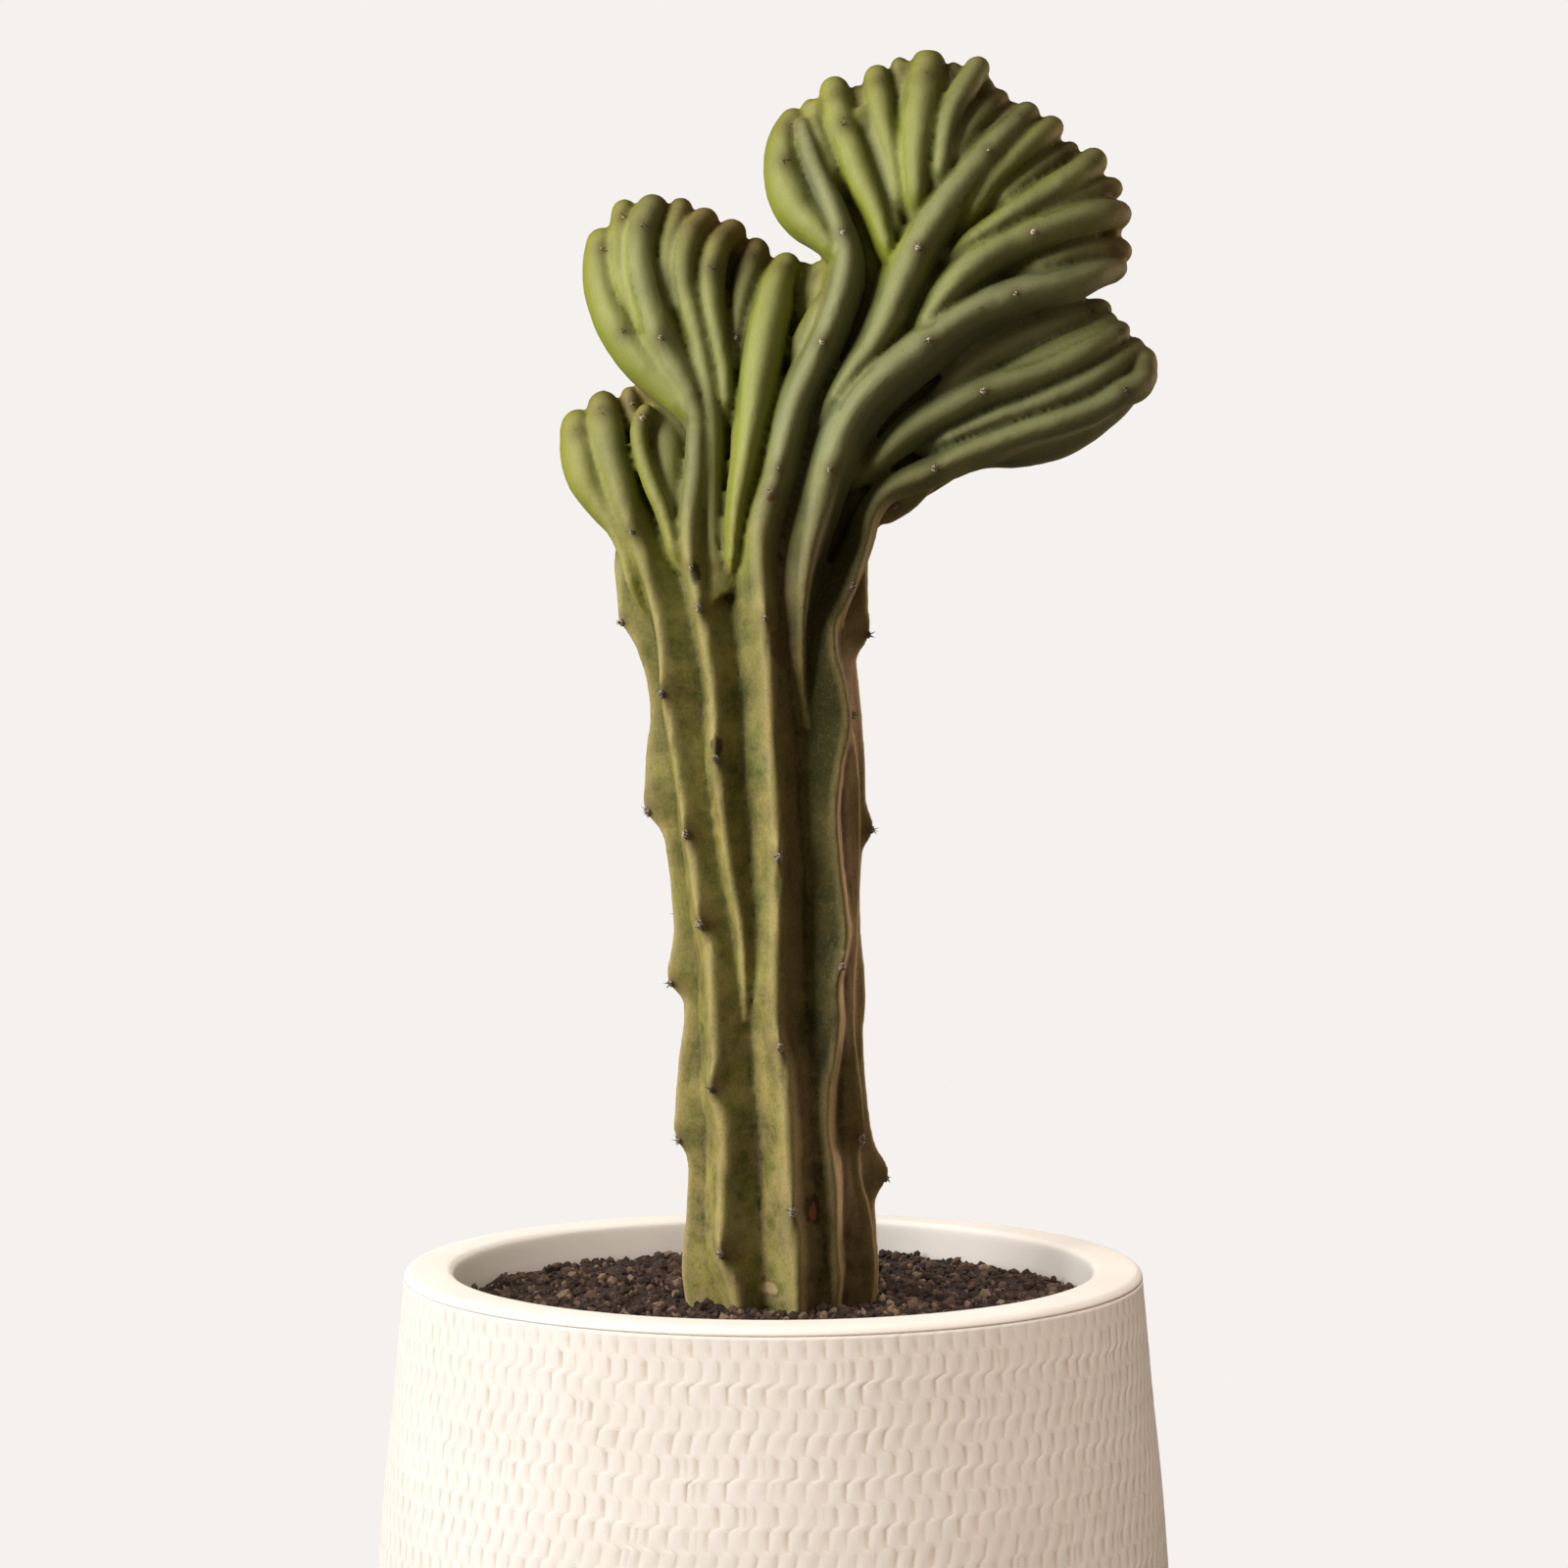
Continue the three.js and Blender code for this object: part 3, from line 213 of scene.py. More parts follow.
TOP_LOBE = {
    "top_outer": [[6.5, 4, 384.5, 5.2], [3.8, 8, 378, 6], [3.8, 12, 369, 7], [6.5, 15, 360.5, 7.5],
        [10, 17, 354.5, 7], [14.5, 19, 350, 5.3], [19.5, 20, 344, 4]],
    "top_second": [[12.5, 3, 389, 3.5], [13.5, 7, 384, 4], [16, 10, 377, 4], [19, 12, 369, 3.5]],
    "trunk": [[9.8, 8, 383, 3], [12.5, 13, 374, 3.5], [17, 16, 363, 4], [21, 19, 353, 4.5],
        [24, 22, 343, 5], [23.4, 24, 333, 5.5], [20, 25, 322, 5.5], [16, 26, 312, 5.5],
        [11.4, 27, 302, 5.5], [7.2, 27, 292, 5.5], [3.8, 27.5, 280, 5.5], [1, 28, 268, 5.5],
        [-3, 28, 255, 5.5], [-4.2, 28, 242, 5.5], [-2.8, 28, 224, 5.3], [-1.2, 28, 205, 5],
        [-0.7, 28, 190, 5], [0.2, 28.5, 173, 5], [1.2, 28.5, 158, 5], [1.6, 29, 140, 5], [1.5, 29, 120, 5],
        [0.8, 30, 100, 5.3], [1.2, 30, 88, 5.5], [3.4, 31, 73, 5.5], [4.7, 31, 60, 5.5],
        [5.5, 31, 42, 5.5], [6.4, 31, 24, 5.5], [7.9, 30, 5, 5.3], [7.5, 26, -14, 5], [5.5, 17, -36, 4]],
    "top_third": [[20.3, 4, 395, 5.2], [22, 10, 386, 6], [25.5, 14, 376, 6], [29.5, 17, 366, 5.5],
        [34, 19, 356, 4.5], [37, 20, 346, 3.5]],
    "top_shaded": [[28, 2, 393, 4], [31, 8, 384, 4.5], [35, 12, 373, 4.5], [38, 15, 362, 4],
        [40, 17, 351, 3]],
    "top_fourth": [[34.5, 4, 399, 4.8], [35, 10, 392, 5], [37, 13, 383, 4.5], [39.5, 15, 373, 4],
        [41, 17, 362, 3]],
    "top_bud": [[41.5, 1, 403, 3], [41.5, 4, 396, 3], [42, 7, 388, 3]],
    "top_centre": [[51, 5, 403.5, 6], [49, 12, 393, 7.5], [48, 16, 383, 7], [47, 19, 373, 6],
        [47, 20, 363, 4.5]],
    "top_peep": [[59, 1, 401, 3.2], [57, 5, 395, 3], [56, 8, 388, 3]],
    "top_sixth": [[67.3, 4, 402.5, 4.2], [63, 10, 396, 4.5], [59, 14, 389, 4.5], [56.5, 17, 380, 4],
        [55, 19, 370, 3.5]],
    "top_seventh": [[73.5, 2, 392, 4], [69, 8, 388, 4.5], [64.5, 12, 382, 4.5], [60, 15, 374, 4]],
    "top_eighth": [[78.5, 1, 388.5, 3], [74, 6, 384, 3.5], [69, 9, 378, 3.5]],
    "branch": [[83, 5, 387, 4.8], [77, 12, 381, 5.5], [69, 17, 373, 6.5], [60.5, 20, 363, 7.5],
        [53.5, 22, 353, 7.8], [47.5, 24, 343, 7.5], [42.5, 25, 332, 7], [38, 26, 321, 6],
        [32.5, 26, 311, 5], [26.5, 26, 303, 4], [21, 26, 295, 3]],
    "side_first": [[91.5, 4, 383, 4.3], [86, 10, 379, 5], [79, 14, 373, 5], [72, 16, 366, 4.5],
        [66, 17, 357, 3.5]],
    "side_second": [[97, 2, 375, 3.5], [91, 7, 372, 4], [84, 11, 367, 4], [76, 14, 360, 3.5]],
    "side_third": [[105, 5, 371.5, 5], [99, 11, 367, 5], [91, 15, 362, 5], [82, 18, 356.5, 4.8],
        [74, 20, 351.5, 4], [67, 21, 347, 3]],
    "side_fourth": [[111, 3, 363, 4], [104, 8, 362, 4.5], [96, 12, 359, 4.3], [88, 15, 356, 3.5]],
    "side_big": [[113, 5, 354.5, 4.8], [107, 12, 354.5, 5.3], [98, 16, 352.5, 6], [88, 19, 349, 7],
        [78, 21, 345, 7.5], [69, 23, 340, 7.3], [62, 24, 334, 6.5], [56, 25, 327, 5], [51, 25, 320, 3.5]],
    "side_sixth": [[113.5, 3, 342.5, 4.4], [105, 9, 343, 4.5], [96, 13, 340.5, 4.2], [87, 16, 337, 3.5]],
    "sweep": [[112, 5, 337, 4.5], [105.5, 12, 335, 5], [97, 17, 331.8, 6.2], [87, 21, 330, 6.5],
        [77, 23, 327, 7], [67, 25, 323, 7.3], [57, 27, 317, 7.5], [47, 28, 309.5, 7.8], [37, 29, 301.5, 8],
        [29, 29, 293.5, 8], [23.5, 29, 284.5, 8], [20, 29, 275, 7.5], [17, 29, 265, 6.6],
        [14.5, 28.5, 254, 5.6], [12.2, 28, 243, 4.6], [10.5, 27, 231, 3.6], [9.8, 25, 216, 2.8],
        [10.2, 22, 200, 2.2], [11, 19, 186, 1.8]],
}
LOW_RIGHT_LOBE = {
    "right_top": [[107, 4, 322.5, 4.5], [99, 8, 321, 5.5], [90, 11, 317.5, 6.5], [80, 13, 313, 7],
        [70, 15, 308, 6.5], [62, 16, 302, 5], [55, 16, 294, 4]],
    "right_thin": [[110.5, 6, 319.5, 2.8], [104, 10, 315.5, 3], [95, 13, 311.5, 3], [86, 15, 307, 3],
        [78, 16, 303, 2.5]],
    "right_lit": [[114, 7, 316, 3.5], [108, 12, 312.5, 4.5], [99, 16, 307.5, 5.5], [89, 18, 303, 6],
        [79, 20, 299.5, 6.3], [69, 21, 296, 6.3], [59, 22, 291.5, 6], [49, 22, 286, 5.5],
        [41, 22, 280, 4.5], [34, 21, 273, 3.5]],
    "right_shaded": [[118, 5, 310, 4.5], [111, 11, 304, 4.8], [103, 15, 299, 4.5], [94, 17, 295, 4.2],
        [84, 18, 291, 4], [72, 19, 287, 3.5], [58, 19, 281, 3]],
    "right_edge": [[121.5, 5, 306, 5], [120.8, 10, 299.5, 5], [113, 14, 295, 4.8], [104, 16, 290, 5],
        [94, 18, 286.5, 5], [83, 19, 283, 5], [72, 20, 279, 5], [62, 21, 275, 4.8], [53, 21, 270.5, 4.2],
        [43, 21, 266.5, 3.6], [36, 20, 262, 3.2], [32, 19, 255, 3], [30.5, 18, 246, 3],
        [27.6, 18.5, 237, 3], [24, 19.5, 227, 3.2], [20.4, 21, 218.5, 3.4], [20.6, 21, 210, 3.4],
        [23.6, 20.5, 199, 3.4], [25.2, 20, 187, 3.4], [22.4, 21, 173, 3.4], [20.8, 22, 158, 3.4],
        [21.6, 22, 143, 3.4], [23.2, 22, 128, 3.4], [24, 22, 117, 3.4], [21.2, 22.5, 102, 3.4],
        [21.4, 22.5, 88, 3.4], [20, 23, 76, 3.6], [18.2, 24, 68, 3.8], [17.6, 24, 55, 4],
        [19.2, 24, 43, 4], [20.4, 23.5, 31, 4], [20.6, 23, 16, 4], [21.4, 22, 3, 4], [19.5, 17, -18, 3.5]],
    "right_under": [[117, 2, 298, 4.8], [113, 4, 293.3, 5.2], [107, 6, 288.7, 6], [99, 8, 284.2, 6.8],
        [91, 10, 281.2, 7.2], [81, 12, 279, 7], [71, 13, 277.3, 5.7], [62, 14, 274.5, 4.6],
        [55, 14.5, 271.5, 4]],
    "right_flap": [[47, 2, 262.5, 2.6], [53, 6, 266.5, 3], [60, 9, 271.5, 3.3], [68, 10, 274.5, 3]],
    "right_fold": [[37.5, 6, 256.5, 4.2], [42.5, 8, 260, 4.6], [49, 10, 266, 4]],
    "right_tuck": [[28.5, 4, 246, 2.5], [30.5, 6, 252, 3], [35, 8, 259, 3]],
}
STEM_SIDES = {
    "stem_left": [[-50, 1, 246, 4], [-51.5, 3, 236, 4], [-50, 6, 223, 4.6], [-46, 8, 213, 4.2],
        [-42, 8, 203, 4], [-40.5, 8, 190, 4], [-42, 8, 175, 4.5], [-41.5, 8, 161, 4.8],
        [-36.5, 9, 151, 4.2], [-34.5, 9, 141, 4], [-33.5, 9, 130, 4], [-32.5, 9, 118, 4],
        [-34, 9, 105, 4.6], [-30, 9, 97, 4], [-29.5, 9, 88, 4], [-31, 9, 75, 4.2], [-32, 9, 56, 4.4],
        [-28.5, 9, 45, 4], [-28.5, 9, 26, 4], [-30, 9, 6, 4.2], [-25, 8, -18, 4], [-17, 6, -36, 3]],
    "stem_right": [[30, 0, 244, 4], [31, 0, 228, 4], [30.5, 1, 216, 4.2], [28, 2, 208, 4],
        [28.5, 2, 196, 4], [30, 3, 178, 4], [30.5, 3, 160, 4], [31.5, 3, 152, 4], [29.5, 3, 143, 4],
        [28.5, 3, 125, 4], [30.5, 3, 98, 4], [29.5, 4, 84, 4], [30.5, 4, 68, 4], [33, 4, 50, 4.2],
        [36.5, 5, 40, 4.6], [34, 5, 31, 4], [34, 5, 18, 4.5], [34.5, 5, 2, 4.5], [30, 4, -18, 4],
        [21, 3, -38, 3]],
    "stem_fold": [[25, 17, 192, 1.6], [27, 13, 180, 2.2], [28.6, 12, 165, 2.6], [28.6, 12, 145, 2.6],
        [28, 12.5, 124, 2.6], [27, 13, 106, 2.6], [26.4, 13.5, 88, 2.6], [28, 14, 74, 2.8],
        [29.6, 13.5, 58, 2.8], [28.2, 14, 48, 2.8], [29.2, 14, 36, 2.8], [32.2, 13, 24, 2.8],
        [33.6, 12, 6, 2.8], [30, 9, -14, 2.6], [22, 7, -34, 2]],
}
FRONT = {**LOW_LEFT_LOBE, **LEFT_LOBE, **TOP_LOBE, **LOW_RIGHT_LOBE, **STEM_SIDES}
print(len(FRONT), "ribs on the front")

# %% Flesh inside the crest, and the stem's core
WEBS = [
    [[-57, 3, 278, 8], [-48, 6, 262, 10], [-36, 9, 240, 13]],
    [[-49, 3, 334, 9], [-43, 6, 322, 12], [-32, 9, 302, 13], [-22, 10, 280, 13]],
    [[-28, 3, 338, 10], [-24, 7, 325, 12], [-16, 10, 300, 13]],
    [[-7, 4, 325, 9], [-6, 9, 312, 12], [-4, 11, 290, 13], [-8, 12, 262, 14]],
    [[9, 3, 326, 5], [8, 6, 316, 7], [4, 10, 298, 9]],
    [[13, 3, 370, 8], [20, 7, 356, 9], [25, 11, 338, 9], [18, 12, 312, 12]],
    [[33, 3, 377, 12], [34, 8, 364, 14], [32, 11, 340, 15], [20, 12, 308, 14]],
    [[56, 3, 376, 12], [53, 8, 362, 14], [45, 11, 342, 16], [30, 12, 312, 14], [12, 13, 280, 16]],
    [[77, 3, 369, 11], [68, 8, 357, 14], [56, 11, 340, 15], [40, 12, 314, 14]],
    [[95, 3, 352, 11], [84, 8, 345, 13], [66, 11, 330, 14], [45, 12, 310, 13]],
    [[98, 3, 337, 8], [84, 7, 333, 10], [62, 10, 320, 11], [40, 11, 300, 12], [22, 13, 276, 14]],
    [[101, 3, 307, 10], [86, 5, 299, 12], [68, 7, 292, 12], [48, 8, 282, 12], [26, 10, 262, 14]],
    [[103, 3, 294, 8], [90, 4, 289, 9], [70, 6, 283, 9]],
]
# [z above the soil, middle x, half width, half depth]
CORE = [[-46, 3, 7, 7], [-32, 3, 16, 14], [-12, 3, 20, 16], [10, 3, 21, 17], [50, 2, 20, 17],
    [100, 0, 19, 16], [150, -4, 22, 16], [200, -7, 25, 16], [235, -9, 30, 16], [262, -8, 33, 15],
    [285, -4, 26, 12]]
print(len(WEBS), "pads of flesh")

# %% [markdown]
# The back is out of sight in any one picture. A finger lies there between each two tips of the front, and
# runs to the hub of its lobe. Every second one ends early, in its neighbour, as crowded ribs do.

# %% Ribs of the back
# a lobe, the x and z of its hub, and how far back its fingers stand there
HUBS = [(LOW_LEFT_LOBE, (-40, 240), 16), (LEFT_LOBE, (-19, 278), 20), (TOP_LOBE, (27, 300), 23),
        (LOW_RIGHT_LOBE, (34, 268), 19)]
# the x and z of a stem rib's top, the x of its foot, and how far back it stands
BACK_STEM = [((-42, 252), -20, 20), ((-24, 290), -8, 27), ((-2, 300), 5, 30), ((20, 304), 16, 26),
             ((26, 272), 25, 17)]
LONG_REACH, SHORT_REACH = 0.95, 0.62  # the share of the way to the hub that a finger runs
BOW = 0.1  # how far it bows aside, in lengths
WIDEST, SLIMMEST = 6.5, 3.6  # half widths of a finger
FILL = 0.42  # a finger's half width, in gaps between the two tips beside it
HUB_WIDTH = 0.75  # the width at its end near the hub, in widths at its tip
FINGER_SHARES = (0, 0.12, 0.32, 0.6, 1)  # where its points lie, in shares of its run
TIP_INSIDE, TIP_BACK = 4.5, 4  # mm that its tip lies inside the outline and stands back
OUTLINE_FORWARD = 9  # fingers of the front whose tips stand forward by less make the outline
BACK_RIB_HALF = 4.6  # half width of a stem rib
BACK_RIB_END = -28  # the height of its buried end
BACK_RIB_TOP = 12  # how far back its top stands


def mix(a, b, t):
    return a + (b - a) * t


def portion(value, low, high):
    return min(1, max(0, (value - low) / (high - low)))


def smoothstep(value, low, high):
    t = portion(value, low, high)
    return t * t * (3 - 2 * t)


def core_at(z):
    if z <= CORE[0][0]:
        return CORE[0]
    for low, high in zip(CORE, CORE[1:]):
        if z <= high[0]:
            return [mix(a, b, portion(z, low[0], high[0])) for a, b in zip(low, high)]
    return CORE[-1]


def back_fingers(lobe, hub, forward):
    tips = [points[0] for points in lobe.values() if points[0][1] < OUTLINE_FORWARD]
    made = []
    for i, (other, tip) in enumerate(zip(tips, tips[1:])):
        start = ((tip[0] + other[0]) / 2, (tip[2] + other[2]) / 2)
        reach = SHORT_REACH if i % 2 else LONG_REACH
        length = math.hypot(hub[0] - start[0], hub[1] - start[1])
        bow = BOW * length * (1 if hub[0] >= start[0] else -1)
        width = min(WIDEST, max(SLIMMEST, FILL * math.hypot(tip[0] - other[0], tip[2] - other[2])))
        rib = []
        for t in FINGER_SHARES:
            s = mix(TIP_INSIDE / length, reach, t)
            sway = bow * math.sin(math.pi * s)
            rib.append([start[0] + (hub[0] - start[0]) * s + sway * (start[1] - hub[1]) / length,
                        mix(TIP_BACK, forward, math.sin(min(1, 1.6 * s) * math.pi / 2)),
                        start[1] + (hub[1] - start[1]) * s + sway * (hub[0] - start[0]) / length,
                        width * mix(1, HUB_WIDTH, t)])
        made.append(rib)
    return made


def back_stem_rib(index, top, foot, back, steps=14, wave=1.6):
    rib = []
    for k in range(steps + 1):
        t = k / steps
        z = mix(top[1], BACK_RIB_END, t)
        middle = core_at(z)[1]
        sway = wave * math.sin(2.6 * k + 2 * index)
        lean = mix(top[0], foot, min(1, 1.15 * t))
        taper = 1 - 0.4 * smoothstep(-z, 5, 30)
        depth = mix(BACK_RIB_TOP, back, smoothstep(t, 0, 0.2))
        rib.append([middle + (lean - middle) * taper + sway, (depth + 0.6 * sway) * taper, z, BACK_RIB_HALF])
    return rib


BACK = [rib for hub in HUBS for rib in back_fingers(*hub)]
BACK += [back_stem_rib(i, *row) for i, row in enumerate(BACK_STEM)]
print(len(BACK), "ribs on the back")

# %% [markdown]
# ## From a ridge to flesh
# A rib's cross-section is a crown over the ridge, two sloping flanks and a buried keel. At its tip a finger
# is round, further down it opens, and on the stem it is a sharp ridge. Here each section starts as a circle
# of points, is shaped, and is extruded from one station of the ridge to the next. In the crest the ridges
# face the viewer, on the stem they face outwards.

# %% Stations of a ridge
STEP = 2.6
# the crown's radius in half widths, the degrees it turns to each side, and the flank's drop in half widths
TIP = (1, 90, 0.6)
FINGER = (0.8, 66, 0.8)
STEM = (0.5, 50, 2.7)
FORK = (205, 275)  # the heights between which a rib's section turns from the stem's to the crest's
OPENING = (8, 60)  # the distances from its tip between which a finger opens
PAST_MIDDLE = 1.5  # a finger's keel goes this far past the middle of the crest
SHORT_OF_AXIS = 4  # and a stem rib's keel ends this far before the stem's axis
SPLAY = 0.6  # stem ribs turn to the sides by this share of a round star's
LEAST_KEEL, MOST_DROP = 0.9, 0.6  # in half widths, and in keels
OUTLINE_RIBS = ("low_outer", "left_outer", "top_outer", "right_top", "right_under")


def curve(points, count_between):
    rows = np.array(points, float)
    ends = np.vstack([2 * rows[0] - rows[1], rows, 2 * rows[-1] - rows[-2]])
    made = []
    for p0, p1, p2, p3 in zip(ends, ends[1:], ends[2:], ends[3:]):
        count = count_between(p1, p2)
        for t in (k / count for k in range(count)):
            made.append(0.5 * (2 * p1 + (p2 - p0) * t + (2 * p0 - 5 * p1 + 4 * p2 - p3) * t * t
                               + (3 * p1 - p0 - 3 * p2 + p3) * t ** 3))
    return made + [rows[-1]]


def station(row, face, from_tip, flat):
    x, forward, z, half = row
    nearer = 1 - face * forward / EYE_AWAY
    place = Vector((mix(EYE_ASIDE, x, nearer), -face * forward, mix(EYE_UP, z, nearer)))
    on_stem = 1 - smoothstep(z, *FORK)
    opened = smoothstep(from_tip, *OPENING)
    crown, turn, drop = (mix(mix(tip, finger, opened), stem, on_stem)
                         for tip, finger, stem in zip(TIP, FINGER, STEM))
    to_axis = Vector((core_at(z)[1] - place.x, -place.y, 0))
    depth = mix(forward + PAST_MIDDLE, to_axis.length - SHORT_OF_AXIS, on_stem)
    to_axis.x *= SPLAY
    inward = (Vector((0, face, 0)) * (1 - on_stem) + to_axis.normalized() * on_stem).normalized()
    keel = max(depth / flat - half * crown, half * LEAST_KEEL)
    return {"ridge": place, "centre": place + inward * half * crown * flat, "out": -inward, "half": half,
            "radius": half * crown, "turn": math.radians(turn), "drop": min(half * drop, keel * MOST_DROP),
            "keel": keel, "flat": flat, "stem": on_stem, "seen": (x, z)}


def stations(points, face, is_round=False, flat=1):
    made = []
    from_tip = 0
    rows = curve(points, lambda a, b: max(2, round(np.linalg.norm((b - a)[:3]) / STEP)))
    for before, row in zip(rows[:1] + rows, rows):
        from_tip += math.hypot(row[0] - before[0], row[2] - before[2])
        made.append(station(row, face, 0 if is_round else from_tip, flat))
    for i, s in enumerate(made):
        along = made[min(i + 1, len(made) - 1)]["centre"] - made[max(i - 1, 0)]["centre"]
        s["along"] = along.normalized()
        s["out"] = (s["out"] - s["along"] * s["out"].dot(s["along"])).normalized()
        s["side"] = s["out"].cross(s["along"])
        s["walk"] = 0 if i == 0 else made[i - 1]["walk"] + (s["centre"] - made[i - 1]["centre"]).length
    return made


front_rows = {name: stations(points, 1, name in OUTLINE_RIBS) for name, points in FRONT.items()}
back_rows = [stations(points, -1) for points in BACK]
print(sum(len(row) for row in front_rows.values()), "stations on the front")

# %% [markdown]
# ## Where the areoles sit
# An areole is the cactus's bud: a cushion of felt that carries the spines. Each sits on a ridge, and
# the ridge swells just above it and dips below it, which gives the stem its wavy outline.

# %% Areole places
FRONT_AREOLES = [[-55, 313], [-45, 351], [-39, 312], [-26, 351], [-25, 292], [-58, 288], [-48, 250],
    [-27, 237], [-23, 224], [-37, 196], [-18, 174], [-30, 150], [-24, 120], [-20, 66], [-17, 12],
    [-20, 337], [-8, 312], [16, 333], [2, 371], [24, 347], [26, 384], [47, 400], [47, 343], [71, 374],
    [86, 347], [104, 372], [80, 325], [52, 313], [18, 271], [17, 313], [-1, 262], [-3, 222], [3, 142],
    [3.5, 80], [5, 27], [68, 295], [115, 297], [52, 271], [113, 318], [25, 232], [19.6, 109], [29, 50],
    [-47, 222], [-38, 160], [-30, 104], [-28, 52], [29, 216], [30, 152], [35, 38], [8, 268]]
BACK_AREOLE_STEP = 40


def nearest_station(x, z):
    best = min(((math.hypot(s["seen"][0] - x, s["seen"][1] - z), name, i)
                for name, row in front_rows.items() for i, s in enumerate(row)), key=lambda found: found[0])
    return front_rows[best[1]], best[2]


def is_apart(place, others, least):
    return all((place - other["ridge"]).length > least for other, _ in others)


areoles = []
for x, z in FRONT_AREOLES:
    row, i = nearest_station(x, z)
    areoles.append((row[i], row))
for row in back_rows:
    walked = BACK_AREOLE_STEP - 6
    for before, s in zip(row, row[1:]):
        walked += s["walk"] - before["walk"]
        if walked >= BACK_AREOLE_STEP and s["ridge"].z > 6:
            areoles.append((s, row))
            walked = 0
for row in list(front_rows.values()) + back_rows:
    if row[0]["seen"][1] > 100 and is_apart(row[1]["ridge"], areoles, 9):
        areoles.append((row[1], row))
print(len(areoles), "areoles")

# %% Swellings under the areoles
BUMP = (1.5, -2, 5)  # height, place beyond the areole and half length, in mm
DIP = (-0.9, 8, 4)
for s, row in areoles:
    for other in row:
        d = other["walk"] - s["walk"]
        if abs(d) < 30:
            swell = sum(height * math.exp(-((d - place) / half) ** 2) for height, place, half in (BUMP, DIP))
            other["swell"] = other.get("swell", 0) + swell * mix(0.3, 1, other["stem"])
print("ridges swollen")

# %% Section and loft
ARC = 11  # points over the crown
KEEL_WIDTH = 0.6  # of the width at the foot of the flanks
# the scale, slide and sink of the sections that round a fingertip and that taper a rib's buried end
ROUND_END = ((0.30, -0.95, 0), (0.62, -0.8, 0), (0.87, -0.48, 0))
TAPERED_END = ((0.85, 1.2, 0.35), (0.6, 2.4, 0.9), (0.3, 3.6, 1.5), (0.05, 4, 1.7))


def section(s, scale=1, slide=0, sink=0):
    centre = s["centre"] + s["along"] * slide * s["half"] - s["out"] * sink * s["half"]
    across, out = s["side"] * scale, s["out"] * scale * s["flat"]
    radius, turn = s["radius"], s["turn"]
    points = []
    for k in range(ARC):
        share = 2 * k / (ARC - 1) - 1
        lift = radius * math.cos(turn * share) + s.get("swell", 0) * math.cos(share * math.pi / 2) ** 2
        points.append(centre + across * radius * math.sin(turn * share) + out * lift)
    foot = math.sin(turn) * radius + (s["drop"] + math.cos(turn) * radius) / math.tan(turn)
    right, left = centre + across * foot - out * s["drop"], centre - across * foot - out * s["drop"]
    to_keel, keel_foot = across * foot * KEEL_WIDTH, centre - out * s["keel"]
    points += [points[-1].lerp(right, 0.5), right, keel_foot + to_keel]
    points += [keel_foot - to_keel, left, left.lerp(points[0], 0.5)]
    return points


def skinned(sections):
    bm = bmesh.new()
    ring = bmesh.ops.create_circle(bm, cap_ends=True, segments=len(sections[0]), radius=1)["verts"]
    edges = bm.edges[:]
    for i, places in enumerate(sections):
        if i:
            made = bmesh.ops.extrude_edge_only(bm, edges=edges)["geom"]
            edges = [item for item in made if isinstance(item, bmesh.types.BMEdge)]
            by_place = {item.co.to_tuple(6): item for item in made if isinstance(item, bmesh.types.BMVert)}
            ring = [by_place[vert.co.to_tuple(6)] for vert in ring]
        for vert, place in zip(ring, places):
            vert.co = place
    bmesh.ops.contextual_create(bm, geom=edges)
    return bm


def loft(row):
    return skinned([section(row[0], *step) for step in ROUND_END] + [section(s) for s in row]
                   + [section(row[-1], *step) for step in TAPERED_END])


def append(whole, part):
    carrier = bpy.data.meshes.new("carrier")
    part.to_mesh(carrier)
    part.free()
    whole.from_mesh(carrier)
    bpy.data.meshes.remove(carrier)


print("a section has", len(section(back_rows[0][0])), "points")

# %% Every rib, pad and the core in one mesh
PAD_FLATNESS = 0.5
CORE_SIDES = 24
flesh = bmesh.new()
for row in list(front_rows.values()) + back_rows:
    append(flesh, loft(row))
for web in WEBS:
    for face in (1, -1):
        append(flesh, loft(stations(web, face, True, PAD_FLATNESS)))
round_turns = [2 * math.pi * k / CORE_SIDES for k in range(CORE_SIDES)]
append(flesh, skinned([[Vector((x + a * math.sin(turn), b * math.cos(turn), z)) for turn in round_turns]
                       for z, x, a, b in CORE]))
bmesh.ops.recalc_face_normals(flesh, faces=flesh.faces)
bmesh.ops.scale(flesh, vec=(MM, MM, MM), verts=flesh.verts)
bmesh.ops.translate(flesh, vec=(0, 0, SOIL_LEVEL), verts=flesh.verts)
print("raw flesh", len(flesh.verts), "vertices")

# %% [markdown]
# ## One skin over all of it
# The ribs overlap, but the plant has a single skin. A voxel remesh wraps them in one, a few passes
# of smoothing round the creases where two ribs meet, and a decimation keeps the count of faces sensible.

# %% Remesh, smooth, thin out
VOXEL = 0.00085
FACES = 190000
raw_mesh = bpy.data.meshes.new("flesh")
flesh.to_mesh(raw_mesh)
flesh.free()
raw = bpy.data.objects.new("flesh", raw_mesh)
bpy.context.scene.collection.objects.link(raw)
wrap = raw.modifiers.new("wrap", "REMESH")
wrap.mode = "VOXEL"
wrap.voxel_size = VOXEL
soften = raw.modifiers.new("soften", "SMOOTH")
soften.factor = 0.5
soften.iterations = 5
depsgraph = bpy.context.evaluated_depsgraph_get()
whole = bpy.data.meshes.new_from_object(raw.evaluated_get(depsgraph))
full_count = sum(len(p.vertices) - 2 for p in whole.polygons)
thin = raw.modifiers.new("thin", "DECIMATE")
thin.ratio = min(1, FACES / full_count)
depsgraph.update()
skin_mesh = bpy.data.meshes.new_from_object(raw.evaluated_get(depsgraph))
